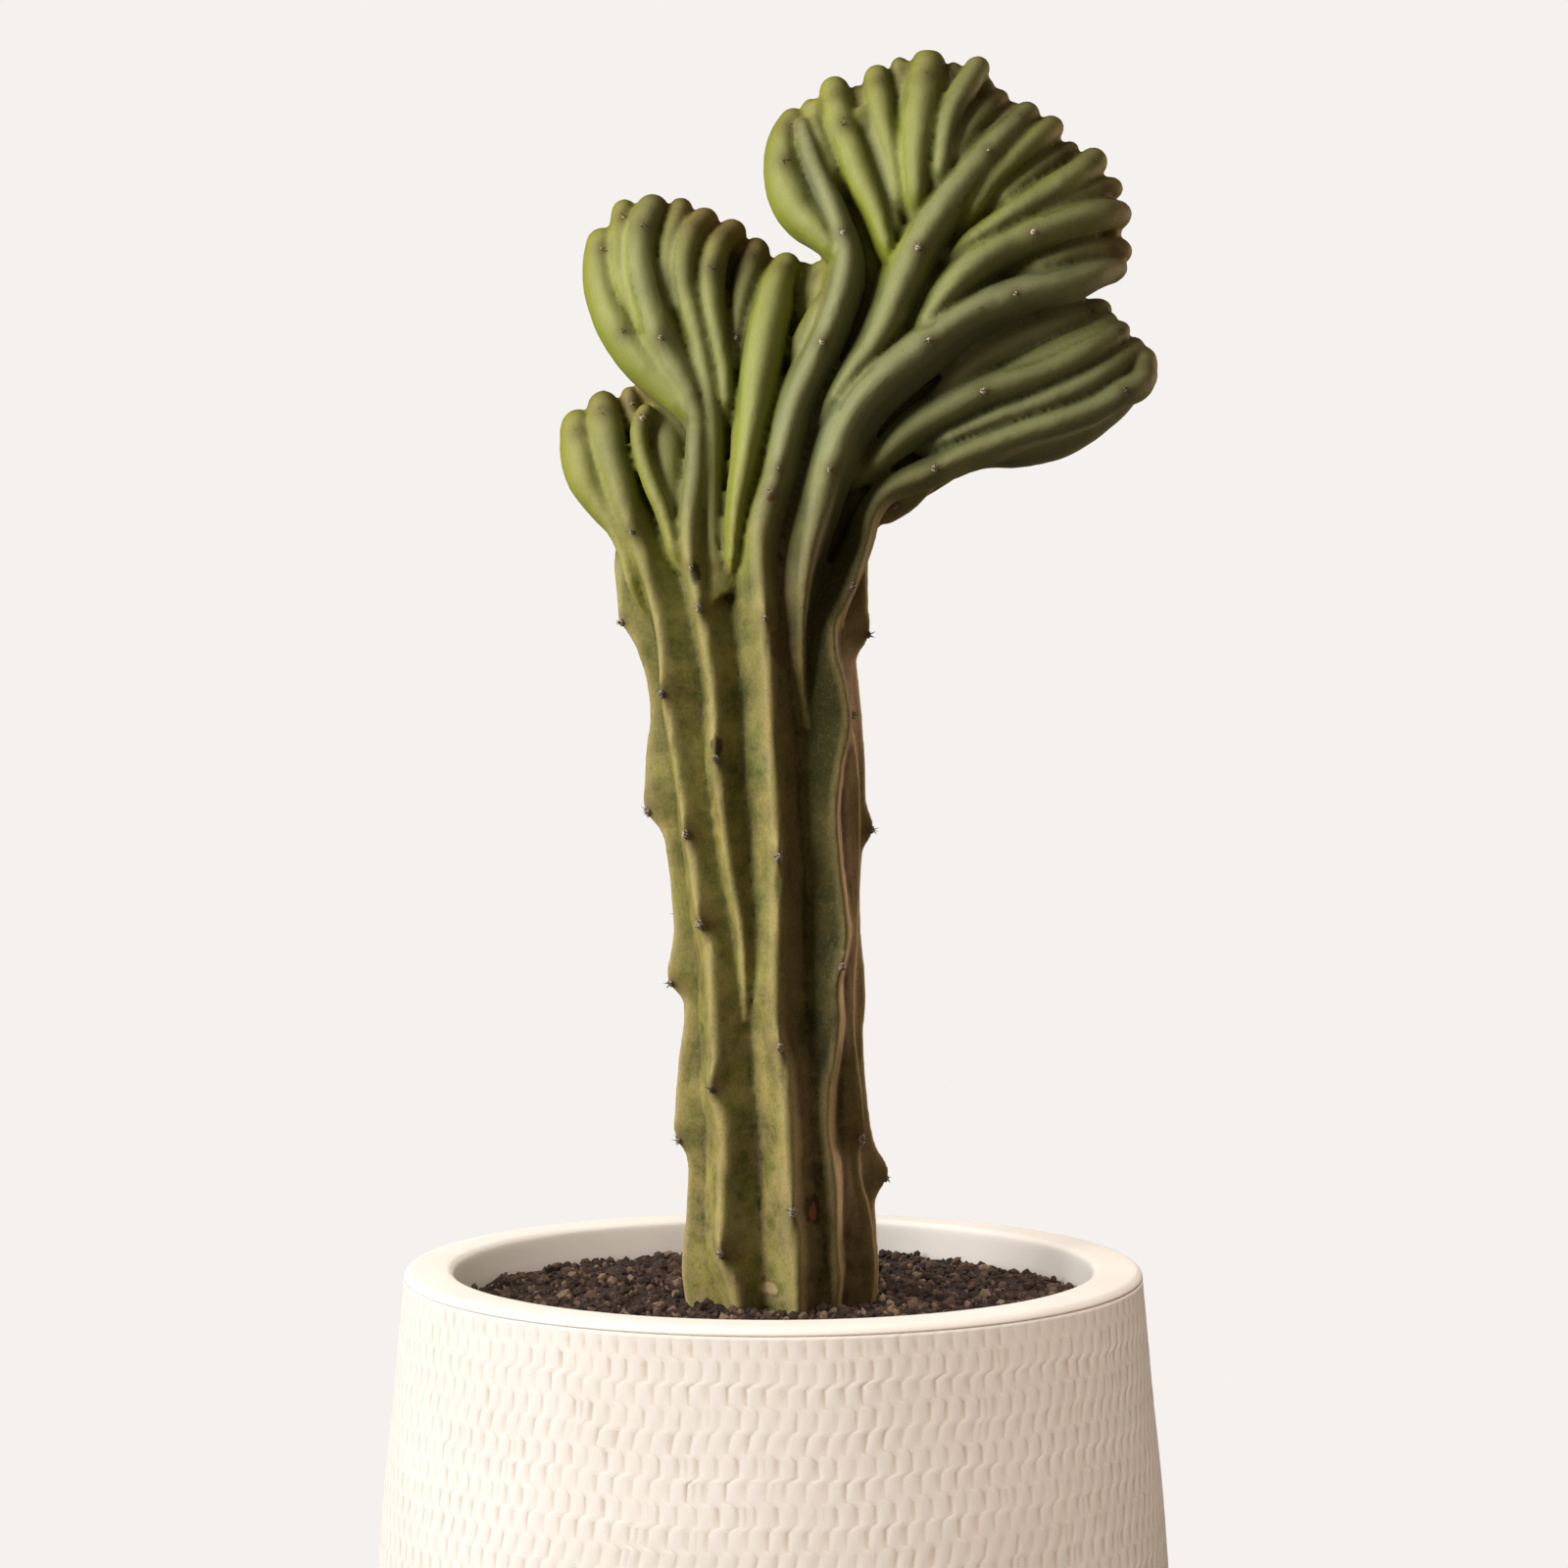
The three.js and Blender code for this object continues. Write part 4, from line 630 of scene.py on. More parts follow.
bpy.data.objects.remove(raw)
skin_mesh.name = "cactus_skin"
print("skin", full_count, "triangles thinned to", sum(len(p.vertices) - 2 for p in skin_mesh.polygons))

# %% [markdown]
# ## Painting the skin by its shape
# Colour follows form on a cactus: ridges rub pale, growing tips are tender, and the old skin near the soil
# turns to cork.
# The creases are painted dark green, as shade, and the ridges paler, partly as a painted highlight. So each
# point of the skin learns how near it is to a ridge, how far from its rib's tip, and whether it lies in a
# hollow. The material then reads those numbers.

# %% Which ridge is near
KEEL_SLOPE = 0.5  # flanks of a rib fall off its ridge like a soft roof, with this slope
KEEL_ROUND = 0.14  # and the ridge is rounded over this share of the half width
TIP_FADE = 22  # in the crest the roof fades in over this distance from the fingertip
STEM_TOP = 262  # the height at which the stem's bands of colour end
PALE_HEIGHTS = [[20, 27, 45, 52, 78, 88, 204, 216], [0, 0.8, 0.8, 0, 0, 1, 1, 0]]  # of its pale edge, a painted highlight
TENDER, ROUGH = 9, 3.5  # mm that a tip is tender, and that the skin round an areole is rough
# the ribs that stand out in colour, with the share of each: sunlit green, grey bloom, brown growth
BRIGHT = {"left_tall": 1.0, "left_outer": 0.75, "left_second": 0.7, "left_big": 0.35,
          "low_outer": 0.8, "low_edge": 0.6, "low_face": 0.6, "top_third": 0.9, "top_outer": 0.7,
          "top_fourth": 0.8, "top_centre": 0.6, "top_second": 0.6, "branch": 0.3, "sweep": 0.1,
          "side_first": 0.5, "side_third": 0.5, "side_big": 0.4, "notch_pale": 0.6, "right_lit": 0.35,
          "right_thin": 0.5, "low_main": 0.3, "left_fourth": 0.3, "left_fifth": 0.3}
BLOOM = {"trunk": 0.9, "sweep": 0.9, "branch": 0.6, "left_big": 0.5, "low_trunk": 0.6, "right_lit": 0.7,
         "right_top": 0.9, "right_shaded": 0.8, "right_edge": 0.7, "right_under": 0.9, "side_big": 0.5,
         "side_third": 0.4, "top_sixth": 0.4, "left_tall": 0.3, "low_face": 0.5, "right_thin": 0.6,
         "side_sixth": 0.5}
BROWN = {"left_fourth": 0.9, "left_fifth": 1.0, "left_small": 0.5, "left_sixth": 0.5, "low_behind": 0.6,
         "right_under": 0.3, "top_eighth": 0.5, "side_second": 0.4, "side_fourth": 0.4, "side_sixth": 0.6}
samples = [(s, BRIGHT.get(name, 0.2), BROWN.get(name, 0.15), BLOOM.get(name, 0.2))
           for name, row in front_rows.items() for s in row]
samples += [(s, 0.3, 0.2, 0.4) for row in back_rows for s in row]


def tree_of(ridges):
    tree = kdtree.KDTree(len(ridges))
    for i, ridge_point in enumerate(ridges):
        tree.insert(ridge_point * MM + Vector((0, 0, SOIL_LEVEL)), i)
    tree.balance()
    return tree


tree = tree_of([s["ridge"] for s, *_ in samples])
areole_tree = tree_of([s["ridge"] for s, _ in areoles])
trunk_line, edge_line = (np.array(sorted((s["seen"][1], s["seen"][0]) for s in front_rows[name]
                                         if s["seen"][1] < STEM_TOP)).T for name in ("trunk", "right_edge"))
points = read_points(skin_mesh)
ridge, tip, bright, brown, bloom, felt, rust, shade, pale, keel = np.zeros((10, len(points)))
for i, point in enumerate(points):
    near, index, distance = tree.find(point)
    s, bright[i], brown[i], bloom[i] = samples[index]
    aside = abs((Vector(point) - near).dot(s["side"])) / (s["half"] * MM)
    aside = math.sqrt(aside ** 2 + KEEL_ROUND ** 2) - KEEL_ROUND
    up, x = point[2] / MM - SOIL_LEVEL / MM, point[0] / MM
    keel[i] = s["half"] * MM * max(0, KEEL_SLOPE * aside - (1 - math.sqrt(max(0, 1 - aside ** 2))))
    keel[i] *= 1 - math.exp(-s["walk"] / TIP_FADE) if up > 200 else 1
    # bands on the stem, by the mm that they lie right of two of its ridges: cork, painted shade, painted
    # highlight
    beyond_trunk = x - np.interp(up, *trunk_line)
    beyond_edge = x - np.interp(up, *edge_line)
    low = portion(up, STEM_TOP, STEM_TOP - 20)
    rust[i] = low * portion(beyond_trunk, 1, 3.5) * min(1, max(0.2, 1 - (beyond_trunk - 7) / 3, beyond_edge))
    if point[1] < 0:
        shade[i] = low * portion(beyond_trunk, 8, 12) * portion(beyond_edge, 0.5, -0.5)
        pale[i] = portion(beyond_edge, 0, 0.8) * portion(beyond_edge, 7, 5) * np.interp(up, *PALE_HEIGHTS)
    ridge[i] = portion(distance, s["half"] * 1.5 * MM, 0)
    tip[i] = math.exp(-s["walk"] / TENDER) if s["seen"][1] > 100 else 0
    felt[i] = math.exp(-(areole_tree.find(point)[2] / (ROUGH * MM)) ** 2)
print("ridge share", round(float(ridge.mean()), 3))

# %% Hollows, and patches blended into their neighbours
edges = np.array([edge.vertices[:] for edge in skin_mesh.edges])


def spread_out(values, passes):
    for _ in range(passes):
        total = np.zeros_like(values)
        count = np.zeros(len(values))
        np.add.at(total, edges[:, 0], values[edges[:, 1]])
        np.add.at(total, edges[:, 1], values[edges[:, 0]])
        np.add.at(count, edges.ravel(), 1)
        values = 0.5 * values + 0.5 * total / (count[:, None] if values.ndim == 2 else count)
    return values


calm = spread_out(points, 16)
hollow = ((calm - points) * read_normals(skin_mesh)).sum(1) * 1000
bright, brown, bloom = (spread_out(values, 12) for values in (bright, brown, bloom))
keel, shade = spread_out(keel, 3), spread_out(shade, 3)
print("hollow from", round(float(hollow.min()), 2), "to", round(float(hollow.max()), 2), "mm")

# %% Deeper creases, and the fine unevenness of the skin
CREASE = 0.45  # the creases of the crest are cut deeper by this share of their hollow
ROOF = (0.4, 0.55)  # the share of the roof that is kept on the stem and in the crest
UNEVEN = ((90, 0.28), (260, 0.13))  # swellings of 11 and 4 mm, and their height in mm
TOP_ROOM, TOP_BEND = 0.3 * MM, 1.0 * MM  # the tips stay this far under the solid's top, and bend to it
normals = read_normals(skin_mesh)
in_crest = np.clip((points[:, 2] - SOIL_LEVEL - 0.2) / 0.07, 0, 1)
lift = -CREASE * MM * in_crest * np.clip(hollow, -0.3, 2) - keel * mix(*ROOF, in_crest)
for i, point in enumerate(points):
    lift[i] += sum(height * MM * noise.noise(Vector(point) * scale) for scale, height in UNEVEN)
shaped = points + normals * lift[:, None]
bent = cad_box[1][2] - TOP_ROOM - TOP_BEND
over = np.maximum(0, shaped[:, 2] - bent)
shaped[:, 2] += TOP_BEND * np.tanh(over / TOP_BEND) - over
write_points(skin_mesh, shaped)
painted = {"ridge": ridge, "tip": tip, "bright": bright, "brown": brown, "bloom": bloom, "felt": felt,
           "rust": rust, "shade": shade, "pale": pale, "hollow": hollow}
for name, values in painted.items():
    paint(skin_mesh, name, values)
print("painted", len(skin_mesh.attributes), "attributes")

# %% [markdown]
# ## Cactus skin
# Living epidermis under a thin waxy bloom: a matte, slightly velvety olive that goes pale and yellow
# along the ridges, partly as a painted highlight, grey-green on the flanks, and tan where old skin has corked.
# Fine specks are its pores.
# It could be one painted picture, but here it is built as it grew, one thin layer of colour over another.
# Each layer is ruled by numbers painted on the skin, by its height, and by noise.

# %% What rules the layers
epidermis = blank("waxy_cactus_epidermis")
place = add(epidermis, "TexCoord").outputs["Object"]
ruler = {name: add(epidermis, "Attribute", {"attribute_name": name}).outputs["Fac"] for name in painted}
ruler["height"] = add(epidermis, "SeparateXYZ", {}, {"Vector": place}).outputs["Z"]
along = add(epidermis, "Mapping", {"Scale": (260.0, 260.0, 40.0)}, {"Vector": place}).outputs["Vector"]
# patches and weathering of a centimetre, blotches of 4 mm, pores of 0.7 mm, and fibres of old skin, 3 mm
# wide and 2 cm long, that run up the stem
for name, spot, scale, detail, roughness in (
        ("patches", place, 55.0, 3.0, 0.5), ("blotches", place, 190.0, 4.0, 0.6),
        ("pores", place, 1100.0, 2.0, 0.5), ("weather", place, 75.0, 4.0, 0.65),
        ("fibres", along, 1.0, 4.0, 0.6)):
    ruler[name] = add(epidermis, "TexNoise", {"Scale": scale, "Detail": detail, "Roughness": roughness},
                      {"Vector": spot}).outputs["Fac"]
print("the skin's layers have", len(ruler), "rulers")

# %% Layers of the skin
CREST_FROM, CREST_FULL = SOIL_LEVEL + 0.20, SOIL_LEVEL + 0.28
IN_CREST = ("height", CREST_FROM, CREST_FULL, 0, 1)
ON_STEM = ("height", CREST_FULL, CREST_FROM, 0, 1)
# a layer's colour, then each ruler's name, the two values between which it counts, and the share of the
# layer at each of the two
LAYERS = [
    # lively green in the light, and waxy bloom in the crest
    ("#868F2C", ("bright", 0.2, 0.9, 0, 0.8)),
    ("#6A7156", IN_CREST, ("bloom", 0.2, 0.9, 0, 0.7)),
    # the stem: old tan skin, bleached patches, mossy ones, rusty cork, painted shade in its furrow, a painted
    # highlight on its pale edge
    ("#877646", ON_STEM, ("blotches", 0.3, 0.7, 0.2, 0.6)),
    ("#A09650", ON_STEM, ("weather", 0.5, 0.66, 0, 0.55)),
    ("#364518", ON_STEM, ("weather", 0.48, 0.34, 0, 0.7)),
    ("#7C684B", ("rust", 0, 1, 0, 1), ("fibres", 0.35, 0.65, 0.4, 0.9)),
    ("#262B0F", ("shade", 0, 1, 0, 0.75)),
    ("#D9C0A0", ("pale", 0, 1, 0, 1), ("fibres", 0.36, 0.62, 0.3, 1)),
    # creases are painted dark, as shade, and ridges are paler: partly rubbed skin, partly a painted highlight
    ("#33340F", ("hollow", 0.05, 0.7, 0, 0.6)),
    ("#191A06", ("hollow", 0.5, 1.2, 0, 0.75)),
    ("#ADAE7C", IN_CREST, ("ridge", 0.35, 0.85, 0, 0.45)),
    ("#A89A68", ON_STEM, ("ridge", 0.35, 0.85, 0, 1), ("fibres", 0.3, 0.6, 0.2, 0.7)),
    # cork near the soil, and brown growing tips
    ("#9A8760", ("height", SOIL_LEVEL + 0.14, SOIL_LEVEL, 0, 1), ("blotches", 0.42, 0.62, 0, 0.55)),
    ("#7F6238", ("tip", 0, 1, 0, 0.7), ("brown", 0.1, 1, 0.25, 1)),
    # pale and dark pores, and rough skin round an areole
    ("#B5AE80", ("pores", 0.56, 0.66, 0, 1), ("height", CREST_FULL, CREST_FROM, 0.04, 0.1)),
    ("#3A3716", ("pores", 0.44, 0.36, 0, 1), ("height", CREST_FULL, CREST_FROM, 0.05, 0.2)),
    ("#54472E", ("felt", 0, 1, 0, 0.6)),
]


def layered(under, colour, *rulers):
    share = None
    for name, low, high, least, most in rulers:
        span = {"From Min": low, "From Max": high, "To Min": least, "To Max": most}
        counts = add(epidermis, "MapRange", span, {"Value": ruler[name]}).outputs["Result"]
        if share:
            counts = add(epidermis, "Math", {"operation": "MULTIPLY"}, {0: share, 1: counts}).outputs[0]
        share = counts
    return add(epidermis, "Mix", {"data_type": "RGBA", 7: linear(colour)}, {0: share, 6: under}).outputs[2]


GREENS = [(0.25, "#4B4F1B"), (0.5, "#62672A"), (0.75, "#7C803F")]
flesh_colour = add(epidermis, "ValToRGB", {"stops": GREENS}, {"Fac": ruler["patches"]}).outputs["Color"]
for layer in LAYERS:
    flesh_colour = layered(flesh_colour, *layer)
print(len(LAYERS), "layers of colour")

# %% Scars, stains, and the finish
MARK_REACH = 14  # mm that a mark reaches into the stem and out of it
# x and z above the soil as the eye sees them, half width and height, place behind the axis, share, colour
MARKS = [((12.8, 27.5), (3.2, 5.6), -24, 0.65, "#40210F"), ((12.9, 26.5), (1.4, 3.0), -24, 0.8, "#A87048"),
         ((3.2, 212), (4.6, 9.0), -28, 0.6, "#5C4A33"), ((-1, 261), (1.4, 1.4), -30, 0.7, "#5E3420")]
MARKS += [(seen, (3.4, 3.0), -25, 0.6, "#C8B08A") for seen in ((-30, 5), (-25, 3), (-2, 1), (-27, 9))]
MARKS += [(seen, (2.1, 5.0), -26, 0.75, "#2B2415") for seen in ((-25.6, 236), (-18.6, 180), (-38, 197))]
# the blotches fray a mark's edge
for (x, z), (wide, tall), depth, share, colour in MARKS:
    middle = EYE + (Vector((x * MM, 0, z * MM + SOIL_LEVEL)) - EYE) * (1 + depth / EYE_AWAY)
    per_half = Vector([1 / (half * MM) for half in (wide, MARK_REACH, tall)])
    shrunk = add(epidermis, "Mapping", {"Location": -middle * per_half, "Scale": per_half},
                 {"Vector": place}).outputs["Vector"]
    reach = add(epidermis, "VectorMath", {"operation": "LENGTH"}, {0: shrunk}).outputs["Value"]
    ruler["mark"] = add(epidermis, "Math", {"operation": "MULTIPLY_ADD", 1: 1.7},
                        {0: ruler["blotches"], 2: reach}).outputs[0]
    flesh_colour = layered(flesh_colour, colour, ("mark", 1.8, 1.5, 0, share))
wrinkle = add(epidermis, "Bump", {"Strength": 0.25, "Distance": 0.0004},
              {"Height": ruler["blotches"]}).outputs[0]
grain = add(epidermis, "Bump", {"Strength": 0.2, "Distance": 0.00012},
            {"Height": ruler["pores"], "Normal": wrinkle}).outputs[0]
waxy = {"Roughness": 0.58, "IOR": 1.42, "Specular IOR Level": 0.2, "Subsurface Weight": 0.05,
        "Subsurface Radius": (0.004, 0.005, 0.002), "Subsurface Scale": 0.5, "Sheen Weight": 0.03,
        "Sheen Roughness": 0.5}
shader = add(epidermis, "BsdfPrincipled", waxy, {"Base Color": flesh_colour, "Normal": grain}).outputs[0]
add(epidermis, "OutputMaterial", {}, {"Surface": shader})
skin = dress(bpy.data.objects.new("cactus_skin", skin_mesh), epidermis, "cactus")

# %% [markdown]
# ## Areoles: felt and spines
# Each areole is a dome of grey felt about 3 mm across with a few short dark spines. There are over a
# hundred, so what they are made of has few faces: a ball of 80 squashed onto the ridge, tufts of 5, and
# thin cones of 7.

# %% Felt domes, tufts and spines
random.seed(7)
DOME = (1.5, 0.95, 1.8)  # half its size across the ridge, outwards and along it, in mm
TUFT_RADIUS, SPINE_RADIUS = 0.16, 0.24
felt_bm = bmesh.new()
spine_bm = bmesh.new()


def stand(s, sink=0.4):
    lifted = s["ridge"] + s["out"] * (s.get("swell", 0) - sink)
    across = s["side"]
    turn = Matrix((across, s["out"], across.cross(s["out"]))).transposed().to_4x4()
    above_soil = Matrix.Translation(Vector((0, 0, SOIL_LEVEL))) @ Matrix.Scale(MM, 4)
    return above_soil @ Matrix.Translation(lifted) @ turn


def needle(bm, base, lean, turn, length, radius, sides):
    direction = Matrix.Rotation(turn, 4, "Y") @ Matrix.Rotation(lean, 4, "X")
    upright = Matrix.Rotation(-math.pi / 2, 4, "X")
    matrix = base @ direction @ upright @ Matrix.Translation((0, 0, length / 2))
    bmesh.ops.create_cone(bm, cap_ends=True, segments=sides, radius1=radius, radius2=radius * 0.12,
                          depth=length, matrix=matrix)


for s, _ in areoles:
    base = stand(s)
    tuft, prickles = bmesh.new(), bmesh.new()
    size = random.uniform(0.6, 1.0) * mix(0.75, 1.0, s["stem"])
    dome = base @ Matrix.Diagonal([half * size for half in DOME] + [1])
    ball = bmesh.ops.create_icosphere(tuft, subdivisions=2, radius=1, matrix=dome)["verts"]
    for vert in ball:
        vert.co += Vector([random.uniform(-0.00014, 0.00014) for _ in range(3)])
    for _ in range(9):
        needle(tuft, base, random.uniform(0.2, 1.2), random.uniform(0, 2 * math.pi),
               random.uniform(1.4, 2.3) * size, TUFT_RADIUS, 3)
    for k in range(random.choice((3, 4, 5))):
        needle(prickles, base, random.uniform(0.35, 1.15), k * 1.4 + random.uniform(-0.4, 0.4),
               random.uniform(2.2, 4.0) * size, SPINE_RADIUS, 5)
    append(felt_bm, tuft)
    append(spine_bm, prickles)
print("felt", len(felt_bm.faces), "faces, spines", len(spine_bm.faces))

# %% [markdown]
# Felt is matted plant hair: off-white, dull, with a soft sheen at its rim. Spines are horn: dark brown,
# smooth and a little glossy.

# %% Felt and spine materials
felt_hair = blank("matted_areole_felt")
spot = add(felt_hair, "TexCoord").outputs["Object"]
# tufts of about 0.6 mm
tufts = add(felt_hair, "TexNoise", {"Scale": 1300.0, "Detail": 3.0}, {"Vector": spot}).outputs["Fac"]
grey = add(felt_hair, "ValToRGB", {"stops": [(0.35, "#3A2F20"), (0.52, "#7A6D56"), (0.7, "#C0B59C")]},
           {"Fac": tufts}).outputs["Color"]
# young felt, high in the crest, is paler
felt_height = add(felt_hair, "SeparateXYZ", {}, {"Vector": spot}).outputs["Z"]
young = add(felt_hair, "MapRange", {"From Min": SOIL_LEVEL + 0.24, "From Max": SOIL_LEVEL + 0.3, "To Max": 0.6},
            {"Value": felt_height}).outputs["Result"]
aged = add(felt_hair, "Mix", {"data_type": "RGBA", 7: linear("#CFC3A6")}, {0: young, 6: grey}).outputs[2]
matted = add(felt_hair, "Bump", {"Strength": 0.6, "Distance": 0.0003}, {"Height": tufts}).outputs[0]
fuzz = add(felt_hair, "BsdfPrincipled", {"Roughness": 0.95, "Sheen Weight": 0.4, "Sheen Roughness": 0.6},
           {"Base Color": aged, "Normal": matted}).outputs[0]
add(felt_hair, "OutputMaterial", {}, {"Surface": fuzz})
horn = blank("horn_of_spines")
spot = add(horn, "TexCoord").outputs["Object"]
streaks = add(horn, "TexNoise", {"Scale": 700.0, "Detail": 2.0}, {"Vector": spot}).outputs["Fac"]
dark = add(horn, "ValToRGB", {"stops": [(0.35, "#241A14"), (0.7, "#5A4534")]},
           {"Fac": streaks}).outputs["Color"]
gloss = add(horn, "BsdfPrincipled", {"Roughness": 0.35, "IOR": 1.54}, {"Base Color": dark}).outputs[0]
add(horn, "OutputMaterial", {}, {"Surface": gloss})
felt_piece = piece("areole_felt", felt_bm, felt_hair, "cactus")
spine_piece = piece("areole_spines", spine_bm, horn, "cactus")

# %% [markdown]
# ## The pot's body
# A pressed stoneware planter: a flat lip with softly rounded edges, walls that swell to a belly and round in
# to a foot ring. Its profile is drawn once and spun about the axis, as on a wheel. Below the lip the wall
# is set back a little, to hold the textured coat that follows.

# %% Profile
# radius and height, in mm
POT_OUTSIDE = [[97, 0], [103, 7], [112.5, 22], [121.5, 46], [127, 72], [129.6, 95], [130, 108], [129.2, 124],
    [128, 144], [126.2, 166], [123.9, 188], [122.3, 206], [120.7, 224]]
POT_LIP = [[120.7, 224], [120.3, 227.6], [119.2, 229.3], [117, 230], [107.5, 230], [105.2, 229.3],
    [104.2, 227.4], [103.8, 220]]
POT_INSIDE = [[103.8, 220], [104.3, 205], [107, 180], [110.6, 150], [112.8, 115], [112, 85], [107.5, 55],
    [100, 30], [93, 16]]
COAT_TOP, COAT_FOOT = 227.3, 14.0  # the heights between which the coat lies
COAT_BEHIND = 2.2  # how far the body is set back behind it
FOOT_RING, FOOT_SLOPE, FOOT_RISE = 12, 2, 4  # the foot ring's width, its inner slope and its height


def flow(points, step):
    fine = np.array(curve(points, lambda a, b: 24))
    walk = np.concatenate([[0], np.cumsum(np.linalg.norm(np.diff(fine, axis=0), axis=1))])
    places = np.linspace(0, walk[-1], max(2, round(walk[-1] / step)) + 1)
    return np.stack([np.interp(places, walk, fine[:, k]) for k in range(2)], 1)


outside = flow(POT_OUTSIDE, 2.5)
lip = flow(POT_LIP, 0.6)
inside = flow(POT_INSIDE, 2.5)
print("wall runs", len(outside), "steps outside,", len(lip), "over the lip and", len(inside), "inside")

# %% Spin a profile
def spun(profile, steps, wedges=12):
    wedge = bmesh.new()
    verts = [bmesh.ops.create_vert(wedge, co=(r * MM, 0, z * MM))["vert"][0] for r, z in profile]
    for a, b in zip(verts, verts[1:]):
        wedge.edges.new((a, b))
    bmesh.ops.spin(wedge, geom=wedge.verts[:] + wedge.edges[:], cent=(0, 0, 0), axis=(0, 0, 1),
                   angle=2 * math.pi / wedges, steps=steps // wedges)
    slice_mesh = bpy.data.meshes.new("wedge")
    wedge.to_mesh(slice_mesh)
    wedge.free()
    bm = bmesh.new()
    for _ in range(wedges):
        bm.from_mesh(slice_mesh)
        slice_mesh.transform(Matrix.Rotation(2 * math.pi / wedges, 4, "Z"))
    bpy.data.meshes.remove(slice_mesh)
    bmesh.ops.remove_doubles(bm, verts=bm.verts, dist=2e-6)
    bmesh.ops.recalc_face_normals(bm, faces=bm.faces)
    return bm


def behind_coat(rows):
    return [(r - COAT_BEHIND if COAT_FOOT - 1 < z < COAT_TOP - 0.3 else r, z) for r, z in rows]


ring_inside = POT_OUTSIDE[0][0] - FOOT_RING
body_profile = [(0, FOOT_RISE), (ring_inside - FOOT_SLOPE, FOOT_RISE), (ring_inside, 0)] + behind_coat(outside)
outer_half = lip[1:len(lip) // 2]
body_profile += behind_coat(outer_half) + [tuple(p) for p in lip[len(lip) // 2:]]
body_profile += [tuple(p) for p in inside[1:]] + [(0, POT_INSIDE[-1][1])]
body_bm = spun(body_profile, 180)
print("pot body", len(body_bm.verts), "vertices")

# %% [markdown]
# ## The pot's textured coat
# The relief is pressed into the clay: courses of small upright bricks, 5.6 mm wide and 6.8 mm tall, parted by
# short grooves that lean a little. From one course to the next they stand half a brick aside. It is
# shallow, half a millimetre, but modelled as real depth, so it catches the light as the wall
# turns. Each brick has five columns of faces, and they crowd at the groove.

# %% Coat of bricks
BRICKS_ROUND = 136
COURSES = 32
COLUMN_PLACES = np.array([0.0, 0.16, 0.4, 0.64, 0.84])  # where a brick's columns of points stand, in widths
COLUMN_LIFTS = np.array([0.0, 0.75, 1.0, 0.9, 0.5])  # and how far they stand out of the groove
ROW_PLACES = np.array([0.0, 0.14, 0.5, 0.86])  # the same for its rows, in heights
ROW_SHARES = np.array([0.1, 0.85, 1.0, 0.85])  # and how much of that is left from row to row
TWIN_LIFTS = np.array([0.0, 0.9, 0.3, 0.95, 0.35])  # the lifts of a brick that is split in two
TWINS = 1 / 12
LEVEL = 0.85  # the height of the border between two courses
INSET = 0.06  # the coat keeps this far inside the pot's outline
DEPTH = 0.5  # mm from a brick's face to the bottom of a groove
BROAD_WAVE, FINE_WAVE = 0.5, 0.3  # mm that the courses rise and dip
columns, rows = BRICKS_ROUND * len(COLUMN_PLACES), COURSES * len(ROW_PLACES)
walk = flow(POT_OUTSIDE[:-1] + POT_LIP[:3], 0.1)
walk = walk[(walk[:, 1] >= COAT_FOOT) & (walk[:, 1] <= COAT_TOP)]
shares = np.append(((np.arange(COURSES)[:, None] + ROW_PLACES) / COURSES).ravel(), 1.0)
picks = walk[np.round(shares * (len(walk) - 1)).astype(int)]
low, top, middle = picks[0], picks[-1], picks[len(picks) // 2]
coat_profile = [(low[0] - 3, low[1])] + [tuple(p) for p in picks] + [(top[0] - 3, top[1])]
coat_profile += [(middle[0] - 4, middle[1]), (low[0] - 3, low[1])]
coat_bm = spun(coat_profile, columns)
coat_mesh = bpy.data.meshes.new("pot_coat")
coat_bm.to_mesh(coat_mesh)
coat_bm.free()
print("coat", columns, "columns by", rows, "rows of faces")

# %% Press the courses into the coat
rng = np.random.default_rng(11)
p = read_points(coat_mesh)
angle = np.arctan2(p[:, 1], p[:, 0])
radius = np.hypot(p[:, 0], p[:, 1])
heights, radii = picks[:, 1] * MM, picks[:, 0] * MM
row = np.round(np.interp(p[:, 2], heights, np.arange(rows + 1))).astype(int)
on_face = np.abs(radius - np.interp(p[:, 2], heights, radii)) < 0.0004
column = np.round(angle / (2 * math.pi) * columns).astype(int) % columns
course, in_course = np.divmod(row, len(ROW_PLACES))
brick, in_brick = np.divmod(column, len(COLUMN_PLACES))
shape = (BRICKS_ROUND, COURSES + 1)
depths = rng.uniform(0.45, 1.0, shape)
sways = rng.uniform(-0.07, 0.07, shape)
twins = rng.random(shape) < TWINS
leans = rng.uniform(-0.05, 0.22, COURSES + 1) - 0.18 * (np.arange(COURSES + 1) % 5 == 2)
offsets = 0.25 * (-1.0) ** np.arange(COURSES + 1) + rng.normal(0, 0.05, COURSES + 1)
offset = offsets[course] + leans[course] * (0.5 - ROW_PLACES[in_course]) + sways[brick, course]
from_below = offsets[course - 1] - 0.5 * leans[course - 1] + sways[brick, course - 1]
offset = np.where((in_course == 0) & (course > 0), (offset + from_below) / 2, offset)
new_angle = 2 * math.pi * (brick + COLUMN_PLACES[in_brick] + offset) / BRICKS_ROUND
lift = np.where(twins[brick, course], TWIN_LIFTS[in_brick], COLUMN_LIFTS[in_brick])
lift = LEVEL + (lift - LEVEL) * depths[brick, course] * ROW_SHARES[in_course]
waves = BROAD_WAVE * MM * np.sin(5 * angle + 0.9 * np.sin(9 * angle))
waves += FINE_WAVE * MM * np.sin(14 * angle + 60 * p[:, 2])
fade = np.clip(row / 3, 0, 1) * np.clip((rows - row) / 2, 0, 1)
relief = np.where(on_face, 1 - (1 - lift) * fade, 1)
